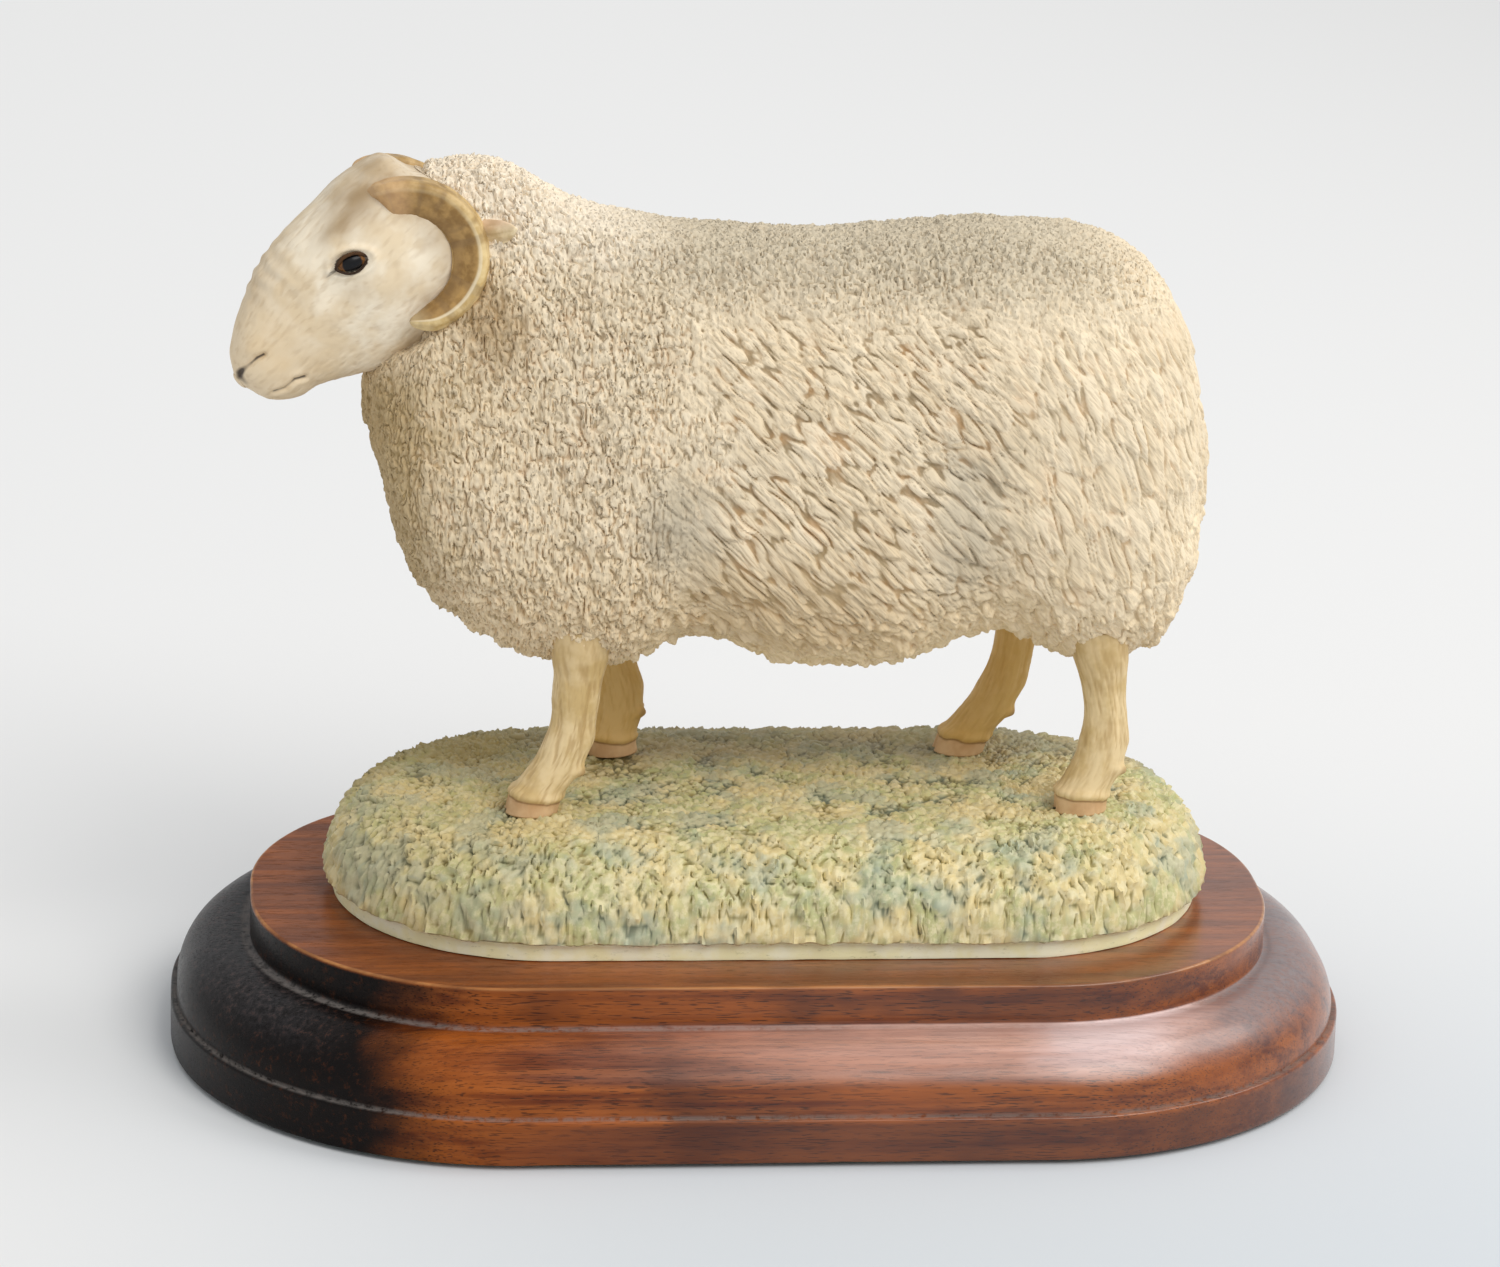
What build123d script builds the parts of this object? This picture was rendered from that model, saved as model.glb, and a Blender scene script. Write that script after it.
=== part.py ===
from build123d import *
import os
from math import atan2, copysign, cos, degrees, pi, radians, sin, sqrt

# Cold-cast sheep on a turf casting, screwed to a moulded wooden plinth.
# Millimetres. X runs from the muzzle to the rump, Y from the near side to the far side, Z up.
# The origin is the middle of the underside.
os.makedirs("parts", exist_ok=True)

# Wooden plinth: a square band, an ovolo moulding and a raised step
plinth_length = 200.0
plinth_depth = 120.0
plinth_end_flat = 7.0
plinth_thickness = 25.2
band_height = 7.6
band_quirk = 1.0
ovolo_ledge = 2.0
step_inset = 13.4
step_height = 6.9

# Baize glued under the plinth
baize_thickness = 0.8
baize_inset = 2.0

# Turf casting: a smooth rim, and a grass bank that overhangs it and rises to flat ground
turf_length = 148.4
turf_depth = 72.0
turf_offset_x = 1.2
turf_offset_y = 1.0
rim_height = 2.4
grass_overhang = 1.6
turf_height = 19.0
bank_width = 13.0
tuft_relief = 1.5
hoof_pad_radius = 5.0

# Two pan-head screws that hold the turf casting from below
screw_diameter = 4.0
screw_head_diameter = 8.0
screw_head_height = 2.6
screw_slot_width = 1.0
screw_slot_depth = 1.2
screw_bite = 9.0
counterbore_diameter = 9.0
counterbore_depth = 9.0

# Fleece casting: its box, and where the box stands over the ground
fleece_length = 140.2
fleece_width = 58.0
fleece_height = 85.6
fleece_front_x = -67.7
fleece_clearance = 22.6
lock_relief = 1.6

# Head casting: its length, depth and width, and how it is carried
head_length = 45.4
head_depth = 31.0
head_width = 22.6
head_pitch = 40.0
head_yaw = 11.0
neck_set = 9.5
neck_height = 97.2
spigot_diameter = 12.0
spigot_length = 20.0
spigot_dip = 16.0

# Eyes: a low swelling on each side of the head
eye_length = 6.4
eye_height = 4.4
eye_swell = 1.3
eye_reach = 9.6

# Horns: a tapering four-sided curl
horn_curl_radius = 9.8
horn_root_size = 6.8
horn_tip_size = 1.0
horn_root_reach = 7.5
horn_spread = 5.1
horn_start_angle = 110.0
horn_end_angle = -94.0
horn_centre_forward = 4.8
horn_centre_drop = 4.2

# Ears: a thin leaf that leaves the head behind the horn
ear_length = 15.4
ear_width = 5.2
ear_thickness = 1.5
ear_root_back = 0.4
ear_root_reach = 4.4
ear_root_drop = 3.0
ear_splay = 40.0
ear_lift = 14.7

# Legs: one form, set down in four places
leg_height = 32.0
leg_length = 9.0
leg_width = 7.6
leg_spread = 15.0
pastern_set = 6.4
hoof_height = 3.4
hoof_cleft = 0.9
foreleg_near_set = 27.8
foreleg_far_set = 43.4
hindleg_near_set = 19.9
hindleg_far_set = 36.5
foreleg_near_lean = 1.2
foreleg_far_lean = -12.0
hindleg_near_lean = -5.4
hindleg_far_lean = 4.2

# Steel pins through the legs
pin_diameter = 2.0
pin_foot_set = 1.9
pin_top_set = 7.7
pin_in_turf = 8.0
pin_in_fleece = 9.0

# Clearances round what slides in
screw_gap = 0.1
glue_gap = 0.1

# Heights and places that follow
plinth_top = baize_thickness + plinth_thickness
band_top = baize_thickness + band_height
step_foot = plinth_top - step_height
rim_top = plinth_top + rim_height
ground = plinth_top + turf_height
fleece_bottom = ground + fleece_clearance
leg_top = ground + leg_height
screw_spacing = turf_length - turf_depth
plinth_corner_radius = (plinth_depth - plinth_end_flat) / 2
ovolo_radius = step_inset - band_quirk - ovolo_ledge
ovolo_foot = step_foot - ovolo_radius
grass_radius = turf_depth / 2 + grass_overhang
fleece_rear_x = fleece_front_x + fleece_length
neck_x = fleece_front_x + neck_set
sheep_y = turf_offset_y

# How finely the modelled forms are cut into flat facets
ovolo_courses = 5
fleece_sides = 30
fleece_stations = 26
fleece_crowding_share = 0.6
head_sides = 16
head_stations = 17
head_crowding_share = 0.5
turf_end_steps = 14
turf_straight_steps = 9
horn_stations = 15
ear_sides = 8
leg_sides = 10
eye_sides = 10


def curve_through(rows, share):
    """Read every column of a table at one share of the way along, on a smooth curve."""
    last = len(rows) - 2
    index = min(max(k for k in range(last + 1) if rows[k][0] <= share), last)
    here, following = rows[index], rows[index + 1]
    before, after = rows[max(index - 1, 0)], rows[min(index + 2, last + 1)]
    run = following[0] - here[0]
    t = (share - here[0]) / run
    values = []
    for column in range(1, len(here)):
        slope_here = (following[column] - before[column]) / (following[0] - before[0]) * run
        slope_next = (after[column] - here[column]) / (after[0] - here[0]) * run
        values.append(
            (2 * t**3 - 3 * t**2 + 1) * here[column]
            + (t**3 - 2 * t**2 + t) * slope_here
            + (3 * t**2 - 2 * t**3) * following[column]
            + (t**3 - t**2) * slope_next
        )
    return values


def spread_shares(count, crowding_share):
    """Shares from 0 to 1 that crowd towards both ends."""
    evenly = [k / (count - 1) for k in range(count)]
    return [s + crowding_share * ((1 - cos(pi * s)) / 2 - s) for s in evenly]


def signed_power(value, power):
    """A power that keeps its sign."""
    return copysign(abs(value) ** power, value)


def body_ring(plane, low, high, lower_half, upper_half, sides, fullness):
    """Points round a rounded section, with one half width below and another above."""
    ring = []
    for k in range(sides):
        angle = 2 * pi * k / sides
        height_share = (1 - signed_power(cos(angle), fullness)) / 2
        mix = height_share**2 * (3 - 2 * height_share)
        half = lower_half * (1 - mix) + upper_half * mix
        across = half * signed_power(sin(angle), fullness)
        ring.append(plane.from_local_coords(Vector(across, low + (high - low) * height_share, 0)))
    return ring


def tufted(ring, station_number, relief):
    """Move a ring's points out and in by turns, out of step with the next ring."""
    centre = sum(ring, Vector(0, 0, 0)) / len(ring)
    points = []
    for k, point in enumerate(ring):
        out_share = 0.5 - (k + station_number) % 2
        points.append(point + (point - centre).normalized() * (relief * out_share))
    return points


def skin(rings):
    """Close a solid of flat triangles over rings of points, with a flat cap at each end."""
    faces = [Face(Wire.make_polygon(rings[0])), Face(Wire.make_polygon(rings[-1]))]
    for ring, following in zip(rings, rings[1:]):
        for k in range(len(ring)):
            corners = ring[k - 1], ring[k], following[k - 1], following[k]
            faces.append(Face(Wire.make_polygon([corners[0], corners[1], corners[2]])))
            faces.append(Face(Wire.make_polygon([corners[1], corners[3], corners[2]])))
    return Solid(Shell(faces))


# Plinth
with BuildPart() as plinth:
    with BuildSketch(Plane.XY.offset(baize_thickness)):
        RectangleRounded(plinth_length, plinth_depth, plinth_corner_radius)
    extrude(amount=band_height)
    with BuildSketch(Plane.XY.offset(band_top)):
        RectangleRounded(
            plinth_length - 2 * band_quirk,
            plinth_depth - 2 * band_quirk,
            plinth_corner_radius - band_quirk,
        )
    extrude(amount=ovolo_foot - band_top)
    for course in range(ovolo_courses):
        start = pi / 2 * course / ovolo_courses
        end = pi / 2 * (course + 1) / ovolo_courses
        inset = band_quirk + ovolo_radius * (1 - cos(start))
        slant = ovolo_radius * (cos(start) - cos(end))
        rise = ovolo_radius * (sin(end) - sin(start))
        with BuildSketch(Plane.XY.offset(ovolo_foot + ovolo_radius * sin(start))):
            RectangleRounded(
                plinth_length - 2 * inset,
                plinth_depth - 2 * inset,
                plinth_corner_radius - inset,
            )
        extrude(amount=rise, taper=degrees(atan2(slant, rise)))
    with BuildSketch(Plane.XY.offset(step_foot)):
        RectangleRounded(
            plinth_length - 2 * step_inset,
            plinth_depth - 2 * step_inset,
            plinth_corner_radius - step_inset,
        )
    extrude(amount=step_height)
    underside = Plane((turf_offset_x, turf_offset_y, baize_thickness), z_dir=(0, 0, -1))
    with Locations(underside):
        with GridLocations(screw_spacing, 0, 2, 1):
            CounterBoreHole(
                screw_diameter / 2 + screw_gap,
                counterbore_diameter / 2,
                counterbore_depth,
                plinth_thickness,
            )
plinth.part.label = "plinth"
export_step(plinth.part, "parts/plinth.step")

# Baize
with BuildPart() as baize_pad:
    with BuildSketch():
        RectangleRounded(
            plinth_length - 2 * baize_inset,
            plinth_depth - 2 * baize_inset,
            plinth_corner_radius - baize_inset,
        )
    extrude(amount=baize_thickness)
baize_pad.part.label = "baize_pad"
export_step(baize_pad.part, "parts/baize_pad.step")

# Fixing screws
screw_seat = baize_thickness + counterbore_depth
screw_tip = plinth_top + screw_bite
with BuildPart() as fixing_screws:
    with Locations((turf_offset_x, turf_offset_y, screw_seat)):
        with GridLocations(screw_spacing, 0, 2, 1):
            Cylinder(
                screw_diameter / 2,
                screw_tip - screw_seat,
                align=(Align.CENTER, Align.CENTER, Align.MIN),
            )
            Cylinder(
                screw_head_diameter / 2,
                screw_head_height,
                align=(Align.CENTER, Align.CENTER, Align.MAX),
            )
    with Locations((turf_offset_x, turf_offset_y, screw_seat - screw_head_height)):
        with GridLocations(screw_spacing, 0, 2, 1):
            Box(
                screw_head_diameter,
                screw_slot_width,
                2 * screw_slot_depth,
                mode=Mode.SUBTRACT,
            )
fixing_screws.part.label = "fixing_screws"
export_step(fixing_screws.part, "parts/fixing_screws.step")

# Legs: height over the ground, set of the centre, and length and width of the section, as shares
leg_shares = (
    (0.00, 0.00, 0.82, 0.86),
    (0.09, 0.06, 0.98, 1.00),
    (0.20, 0.42, 1.00, 0.92),
    (0.29, 0.66, 0.93, 0.88),
    (0.38, 0.83, 0.93, 0.86),
    (0.50, 0.94, 0.81, 0.78),
    (0.62, 0.98, 0.80, 0.80),
    (0.74, 1.00, 0.90, 0.92),
    (0.84, 1.00, 1.04, 1.06),
    (1.00, 1.00, 1.12, 1.14),
)


def leg_blank(foot_x, foot_y, lean, grow):
    """One leg from the ground to its top, grown all round by a clearance."""
    rings = []
    for height_share, set_share, length_share, width_share in leg_shares:
        centre_x = foot_x + pastern_set * set_share + lean * height_share
        half_length = leg_length * length_share / 2 + grow
        half_width = leg_width * width_share / 2 + grow
        ring = []
        for k in range(leg_sides):
            angle = 2 * pi * k / leg_sides
            ring.append(
                Vector(
                    centre_x + half_length * cos(angle),
                    foot_y + half_width * sin(angle),
                    ground + leg_height * height_share,
                )
            )
        rings.append(ring)
    return skin(rings)


def pin_blank(foot_x, foot_y, lean):
    """One steel pin from inside the turf, up the leg and into the fleece casting."""
    slope = (pin_top_set + lean - pin_foot_set) / leg_height
    foot = foot_x + pin_foot_set
    start = Vector(foot - slope * pin_in_turf, foot_y, ground - pin_in_turf)
    end = Vector(foot + slope * (leg_height + pin_in_fleece), foot_y, leg_top + pin_in_fleece)
    with BuildPart() as blank:
        with BuildSketch(Plane(start, z_dir=end - start)):
            Circle(pin_diameter / 2)
        extrude(amount=(end - start).length)
    return blank.part


near_y = sheep_y - leg_spread
far_y = sheep_y + leg_spread
leg_places = {
    "left_foreleg": (fleece_front_x + foreleg_near_set, near_y, foreleg_near_lean),
    "right_foreleg": (fleece_front_x + foreleg_far_set, far_y, foreleg_far_lean),
    "left_hindleg": (fleece_rear_x - hindleg_near_set, near_y, hindleg_near_lean),
    "right_hindleg": (fleece_rear_x - hindleg_far_set, far_y, hindleg_far_lean),
}
leg_pin_blanks = {name: pin_blank(*place) for name, place in leg_places.items()}

for name, place in leg_places.items():
    foot_x, foot_y, lean = place
    with BuildPart() as leg:
        add(leg_blank(*place, grow=0))
        with Locations((foot_x - leg_length / 2, foot_y, ground)):
            Box(leg_length, hoof_cleft, 2 * hoof_height, mode=Mode.SUBTRACT)
        add(leg_pin_blanks[name], mode=Mode.SUBTRACT)
    leg.part.label = name
    export_step(leg.part, f"parts/{name}.step")

with BuildPart() as leg_pins:
    add(list(leg_pin_blanks.values()))
leg_pins.part.label = "leg_pins"
export_step(leg_pins.part, "parts/leg_pins.step")

# Turf casting: inset and height of the grass bank, as shares
bank_shares = (
    (0.00, 0.00),
    (0.13, 0.42),
    (0.40, 0.76),
    (0.70, 0.93),
    (1.00, 1.00),
)

# The level ground within the bank: its end radius on each course, as a share
level_shares = (0.68, 0.40, 0.14)

turf_courses = []
for inset_share, height_share in bank_shares:
    turf_courses.append((grass_radius - bank_width * inset_share, height_share))
for level_share in level_shares:
    turf_courses.append(((grass_radius - bank_width) * level_share, 1.0))

turf_outline = []
for end, start_angle in ((1, -pi / 2), (-1, pi / 2)):
    for k in range(turf_end_steps):
        share = (k + 0.5) / turf_end_steps
        turf_outline.append((end * screw_spacing / 2, start_angle + pi * share))
    for k in range(turf_straight_steps):
        share = (k + 0.5) / turf_straight_steps
        turf_outline.append((end * screw_spacing * (0.5 - share), start_angle + pi))

turf_rings = []
for number, (end_radius, height_share) in enumerate(turf_courses):
    relief = 0 if number == len(turf_courses) - 1 else tuft_relief
    height = rim_top + (ground - rim_top) * height_share
    ring = []
    for k, (centre_x, angle) in enumerate(turf_outline):
        sunk = relief * ((k + number) % 2)
        reach = end_radius - sunk * (1 - height_share)
        ring.append(
            Vector(
                turf_offset_x + centre_x + reach * cos(angle),
                turf_offset_y + reach * sin(angle),
                height - sunk * height_share,
            )
        )
    turf_rings.append(ring)

with BuildPart() as turf_base:
    with BuildSketch(Plane((turf_offset_x, turf_offset_y, plinth_top))):
        SlotOverall(turf_length, turf_depth)
    extrude(amount=rim_height)
    add(skin(turf_rings))
    for foot_x, foot_y, lean in leg_places.values():
        with BuildSketch(Plane((foot_x, foot_y, ground - 2 * tuft_relief))):
            RegularPolygon(hoof_pad_radius, leg_sides)
        extrude(amount=2 * tuft_relief)
    with Locations((turf_offset_x, turf_offset_y, plinth_top)):
        with GridLocations(screw_spacing, 0, 2, 1):
            Cylinder(
                screw_diameter / 2,
                screw_bite,
                align=(Align.CENTER, Align.CENTER, Align.MIN),
                mode=Mode.SUBTRACT,
            )
    add(list(leg_pin_blanks.values()), mode=Mode.SUBTRACT)
turf_base.part.label = "turf_base"
export_step(turf_base.part, "parts/turf_base.step")

# The head's own axes: from the muzzle up to the poll, across to the far side, and its upper side
pitch = radians(head_pitch)
yaw = radians(head_yaw)
neck_point = Vector(neck_x, sheep_y, ground + neck_height)
back_way = Vector(cos(yaw), sin(yaw), 0)
far_way = Vector(-sin(yaw), cos(yaw), 0)
up_way = Vector(0, 0, 1)
head_axis = back_way * cos(pitch) + up_way * sin(pitch)
head_up = head_axis.cross(far_way)

# Horns: places across and round the section, as shares of its size
horn_section_shares = (
    (-0.50, 0.02),
    (-0.20, 0.34),
    (0.24, 0.50),
    (0.42, 0.20),
    (0.50, -0.12),
    (0.24, -0.36),
    (-0.10, -0.40),
    (-0.42, -0.24),
)
horn_thinning_share = 0.18
horn_point_power = 6


def horn_blank(side):
    """One horn, curling back, out, down and forward again; side is -1 near and 1 far."""
    centre = neck_point - back_way * horn_centre_forward - up_way * horn_centre_drop
    rings = []
    for k in range(horn_stations):
        t = k / (horn_stations - 1)
        angle = radians(horn_start_angle + (horn_end_angle - horn_start_angle) * t)
        outward = back_way * cos(angle) + up_way * sin(angle)
        reach = horn_root_reach + horn_spread * sin(pi / 2 * t)
        middle = centre + outward * horn_curl_radius + far_way * (side * reach)
        slim = (1 - horn_thinning_share * t) * sqrt(1 - t**horn_point_power)
        size = horn_tip_size + (horn_root_size - horn_tip_size) * slim
        ring = []
        for outward_share, side_share in horn_section_shares:
            ring.append(
                middle + outward * (size * outward_share) + far_way * (side * size * side_share)
            )
        rings.append(ring)
    return skin(rings)


# Ears: distance from the root, width and thickness, as shares
ear_shares = (
    (0.00, 0.50, 1.00),
    (0.25, 0.90, 1.00),
    (0.55, 1.00, 0.90),
    (0.85, 0.70, 0.70),
    (1.00, 0.22, 0.40),
)


def ear_blank(side):
    """One ear, a thin leaf pointing back and out."""
    root = neck_point + back_way * ear_root_back + far_way * (side * ear_root_reach)
    root -= up_way * ear_root_drop
    splay, lift = radians(ear_splay), radians(ear_lift)
    level_way = back_way * cos(splay) + far_way * (side * sin(splay))
    along = level_way * cos(lift) + up_way * sin(lift)
    across = along.cross(far_way * side).normalized()
    through = along.cross(across)
    rings = []
    for along_share, width_share, thickness_share in ear_shares:
        middle = root + along * (ear_length * along_share)
        ring = []
        for k in range(ear_sides):
            angle = 2 * pi * k / ear_sides
            ring.append(
                middle
                + across * (ear_width * width_share / 2 * cos(angle))
                + through * (ear_thickness * thickness_share / 2 * sin(angle))
            )
        rings.append(ring)
    return skin(rings)


# Head: distance from the muzzle, lower and upper edge, lower and upper half width, as shares
head_shares = (
    (0.000, -0.05, 0.04, 0.14, 0.14),
    (0.030, -0.17, 0.13, 0.36, 0.34),
    (0.065, -0.23, 0.18, 0.45, 0.43),
    (0.125, -0.28, 0.25, 0.52, 0.50),
    (0.200, -0.30, 0.31, 0.54, 0.56),
    (0.310, -0.38, 0.39, 0.60, 0.68),
    (0.440, -0.47, 0.435, 0.72, 0.86),
    (0.600, -0.54, 0.455, 0.88, 1.00),
    (0.740, -0.53, 0.47, 0.96, 1.00),
    (0.890, -0.48, 0.42, 0.96, 0.88),
    (1.000, -0.34, 0.26, 0.76, 0.62),
)
neck_share = 0.885
head_fullness = 0.86
muzzle_point = neck_point - head_axis * (head_length * neck_share)

# Eyes: place along and up the head, then distance out and size of the swelling, as shares
eye_along_share = 0.60
eye_up_share = 0.17
eye_shares = (
    (-1.00, 0.95),
    (0.35, 0.95),
    (0.75, 0.70),
    (1.00, 0.25),
)


def eye_blank(side):
    """The low swelling of one eye; side is -1 near and 1 far."""
    middle = muzzle_point + head_axis * (head_length * eye_along_share)
    middle += head_up * (head_depth * eye_up_share)
    rings = []
    for out_share, size_share in eye_shares:
        centre = middle + far_way * (side * (eye_reach + eye_swell * out_share))
        ring = []
        for k in range(eye_sides):
            angle = 2 * pi * k / eye_sides
            ring.append(
                centre
                + head_axis * (eye_length * size_share / 2 * cos(angle))
                + head_up * (eye_height * size_share / 2 * sin(angle))
            )
        rings.append(ring)
    return skin(rings)


head_rings = []
for along_share in spread_shares(head_stations, head_crowding_share):
    low, high, lower, upper = curve_through(head_shares, along_share)
    station = Plane(
        muzzle_point + head_axis * (head_length * along_share),
        x_dir=far_way,
        z_dir=head_axis,
    )
    head_rings.append(
        body_ring(
            station,
            head_depth * low,
            head_depth * high,
            head_width * lower / 2,
            head_width * upper / 2,
            head_sides,
            head_fullness,
        )
    )

spigot_way = back_way * cos(radians(spigot_dip)) - up_way * sin(radians(spigot_dip))
horn_blanks = {"left_horn": horn_blank(-1), "right_horn": horn_blank(1)}
ear_blanks = {"left_ear": ear_blank(-1), "right_ear": ear_blank(1)}

with BuildPart() as head:
    add(skin(head_rings))
    add([eye_blank(-1), eye_blank(1)])
    with BuildSketch(Plane(neck_point, z_dir=spigot_way)):
        Circle(spigot_diameter / 2)
    extrude(amount=spigot_length)
    add(list(horn_blanks.values()) + list(ear_blanks.values()), mode=Mode.SUBTRACT)
head.part.label = "head"
export_step(head.part, "parts/head.step")

for name, blank in horn_blanks.items():
    with BuildPart() as horn:
        add(blank)
    horn.part.label = name
    export_step(horn.part, f"parts/{name}.step")

for name, blank in ear_blanks.items():
    with BuildPart() as ear:
        add(blank)
        add(list(horn_blanks.values()), mode=Mode.SUBTRACT)
    ear.part.label = name
    export_step(ear.part, f"parts/{name}.step")

# Fleece: distance from the chest, lower and upper edge, lower and upper half width, as shares
fleece_shares = (
    (0.000, 0.460, 0.595, 0.18, 0.16),
    (0.015, 0.370, 0.625, 0.42, 0.34),
    (0.030, 0.275, 0.665, 0.56, 0.42),
    (0.045, 0.205, 0.790, 0.66, 0.40),
    (0.060, 0.158, 0.960, 0.73, 0.38),
    (0.082, 0.118, 0.988, 0.78, 0.38),
    (0.116, 0.078, 0.995, 0.82, 0.39),
    (0.165, 0.035, 0.980, 0.87, 0.42),
    (0.228, 0.006, 0.927, 0.91, 0.50),
    (0.298, 0.000, 0.888, 0.93, 0.62),
    (0.396, 0.055, 0.865, 0.94, 0.70),
    (0.515, 0.000, 0.857, 0.99, 0.72),
    (0.634, 0.008, 0.867, 1.00, 0.73),
    (0.746, 0.070, 0.880, 0.98, 0.74),
    (0.843, 0.015, 0.867, 0.96, 0.70),
    (0.913, 0.015, 0.812, 0.88, 0.62),
    (0.959, 0.060, 0.722, 0.72, 0.48),
    (0.984, 0.145, 0.600, 0.50, 0.34),
    (1.000, 0.255, 0.490, 0.22, 0.16),
)
fleece_fullness = 0.80

fleece_rings = []
fleece_alongs = spread_shares(fleece_stations, fleece_crowding_share)
for station_number, along_share in enumerate(fleece_alongs):
    low, high, lower, upper = curve_through(fleece_shares, along_share)
    station = Plane(
        (fleece_front_x + fleece_length * along_share, sheep_y, fleece_bottom),
        x_dir=(0, 1, 0),
        z_dir=(1, 0, 0),
    )
    ring = body_ring(
        station,
        fleece_height * low,
        fleece_height * high,
        fleece_width * lower / 2,
        fleece_width * upper / 2,
        fleece_sides,
        fleece_fullness,
    )
    fleece_rings.append(tufted(ring, station_number, lock_relief * lower))

with BuildPart() as fleece_body:
    add(skin(fleece_rings))
    add(head.part, mode=Mode.SUBTRACT)
    add(list(horn_blanks.values()) + list(ear_blanks.values()), mode=Mode.SUBTRACT)
    for name, place in leg_places.items():
        add(leg_blank(*place, grow=glue_gap), mode=Mode.SUBTRACT)
        add(leg_pin_blanks[name], mode=Mode.SUBTRACT)
fleece_body.part.label = "fleece_body"
export_step(fleece_body.part, "parts/fleece_body.step")
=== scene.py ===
import bpy
import numpy as np
from mathutils import Matrix, Vector


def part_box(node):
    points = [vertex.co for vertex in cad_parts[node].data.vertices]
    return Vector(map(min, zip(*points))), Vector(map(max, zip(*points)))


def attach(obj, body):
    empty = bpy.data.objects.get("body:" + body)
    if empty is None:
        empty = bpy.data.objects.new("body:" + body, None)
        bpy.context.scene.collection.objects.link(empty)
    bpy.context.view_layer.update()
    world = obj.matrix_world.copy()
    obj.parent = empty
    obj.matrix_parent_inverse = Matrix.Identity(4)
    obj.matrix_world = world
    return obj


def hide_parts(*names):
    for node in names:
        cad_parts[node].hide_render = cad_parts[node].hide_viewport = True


# Sheep figurine: a painted cold-cast sheep on a turf casting, screwed to a mahogany plinth.
# Shapes are worked out in millimetres in the CAD frame and written to the meshes in metres.
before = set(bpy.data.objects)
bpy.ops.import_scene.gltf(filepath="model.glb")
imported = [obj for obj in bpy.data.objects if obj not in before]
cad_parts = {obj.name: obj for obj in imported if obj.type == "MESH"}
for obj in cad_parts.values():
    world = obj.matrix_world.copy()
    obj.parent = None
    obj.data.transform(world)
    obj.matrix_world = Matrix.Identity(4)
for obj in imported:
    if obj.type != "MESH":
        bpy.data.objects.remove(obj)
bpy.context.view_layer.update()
mm = 0.001

# The plinth: one mahogany board with a square band, an ovolo and a raised step run round its edge.
# It is stained and waxed and worn orange along the step; its left end is painted nearly black as shade,
# and painted highlights lie along the front of the ovolo.
plinth_low, plinth_high = (np.array(corner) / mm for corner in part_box("plinth"))
plinth_corner = 56.5
band_height = 7.6
band_quirk = 1.0
step_inset = 13.4
step_height = 6.9
ovolo_radius = 10.4
edge_round = 0.5
plinth_columns = 640
wood_heave = 0.05
lattice_size = 8192
lattice = np.random.default_rng(7).uniform(-1, 1, lattice_size)
corner_steps = np.array([73856093, 19349663, 83492791])
seed_step = 2654435


def box_key(box, seed):
    """A whole number for each box of a grid, mixed from its place along each axis and a seed."""
    return np.bitwise_xor.reduce(box * corner_steps[: box.shape[-1]], axis=-1) ^ (seed * seed_step)


def lattice_value(key):
    """The lattice's random number from -1 to 1 for a whole number."""
    return lattice[key & (lattice_size - 1)]


def lumps(points, size, seed):
    """Smooth random heights from -1 to 1, blended between the corners of boxes of one size."""
    cell = np.floor(points / size).astype(np.int64)
    part = points / size - cell
    part = part * part * (3 - 2 * part)
    total = np.zeros(points.shape[:-1])
    for corner in range(8):
        offset = np.array([corner & 1, corner >> 1 & 1, corner >> 2 & 1])
        weight = np.prod(np.where(offset, part, 1 - part), axis=-1)
        total += weight * lattice_value(box_key(cell + offset, seed))
    return total


def outline(spacing_x, spacing_y, radius, count):
    """Places and directions round a rounded rectangle: each of its four corner centres is
    followed over a quarter turn, and the straight sides run from one centre to the next."""
    quarter = np.pi * radius / 2
    lengths = np.cumsum([0] + 2 * [2 * spacing_y, quarter, 2 * spacing_x, quarter])
    along = np.arange(count) / count * lengths[-1]
    angle = np.interp(along, lengths, np.radians([0, 0, 90, 90, 180, 180, 270, 270, 360]))
    centre_x = np.interp(along, lengths, spacing_x * np.array([1, 1, 1, -1, -1, -1, -1, 1, 1]))
    centre_y = np.interp(along, lengths, spacing_y * np.array([-1, 1, 1, 1, 1, -1, -1, -1, -1]))
    return np.stack([centre_x, centre_y], -1), np.stack([np.cos(angle), np.sin(angle)], -1)


def grid_normals(points):
    """Outward directions on a grid of rings: the step round a ring crossed with the step along."""
    around = np.roll(points, -1, axis=-2) - np.roll(points, 1, axis=-2)
    along = np.gradient(points, axis=-3)
    normal = np.cross(around, along)
    return normal / np.maximum(np.linalg.norm(normal, axis=-1, keepdims=True), 1e-9)


def heaved(rings, heights):
    """Rings whose places are moved outwards by a height each."""
    return rings + grid_normals(rings) * heights[..., None]


def raised(flat, heights):
    """Rings of places in the plane, each ring raised to its own height."""
    level = np.broadcast_to(heights[:, None, None], (*flat.shape[:2], 1))
    return np.concatenate([flat, level], -1)


def bell(value, middle, width):
    """1 where a value is at its middle, falling smoothly to 0 over a width on both sides."""
    return np.exp(-(((value - middle) / width) ** 2))


def placed(name, data):
    """A new object of the given data, linked to the scene."""
    made = bpy.data.objects.new(name, data)
    bpy.context.collection.objects.link(made)
    return made


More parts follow.
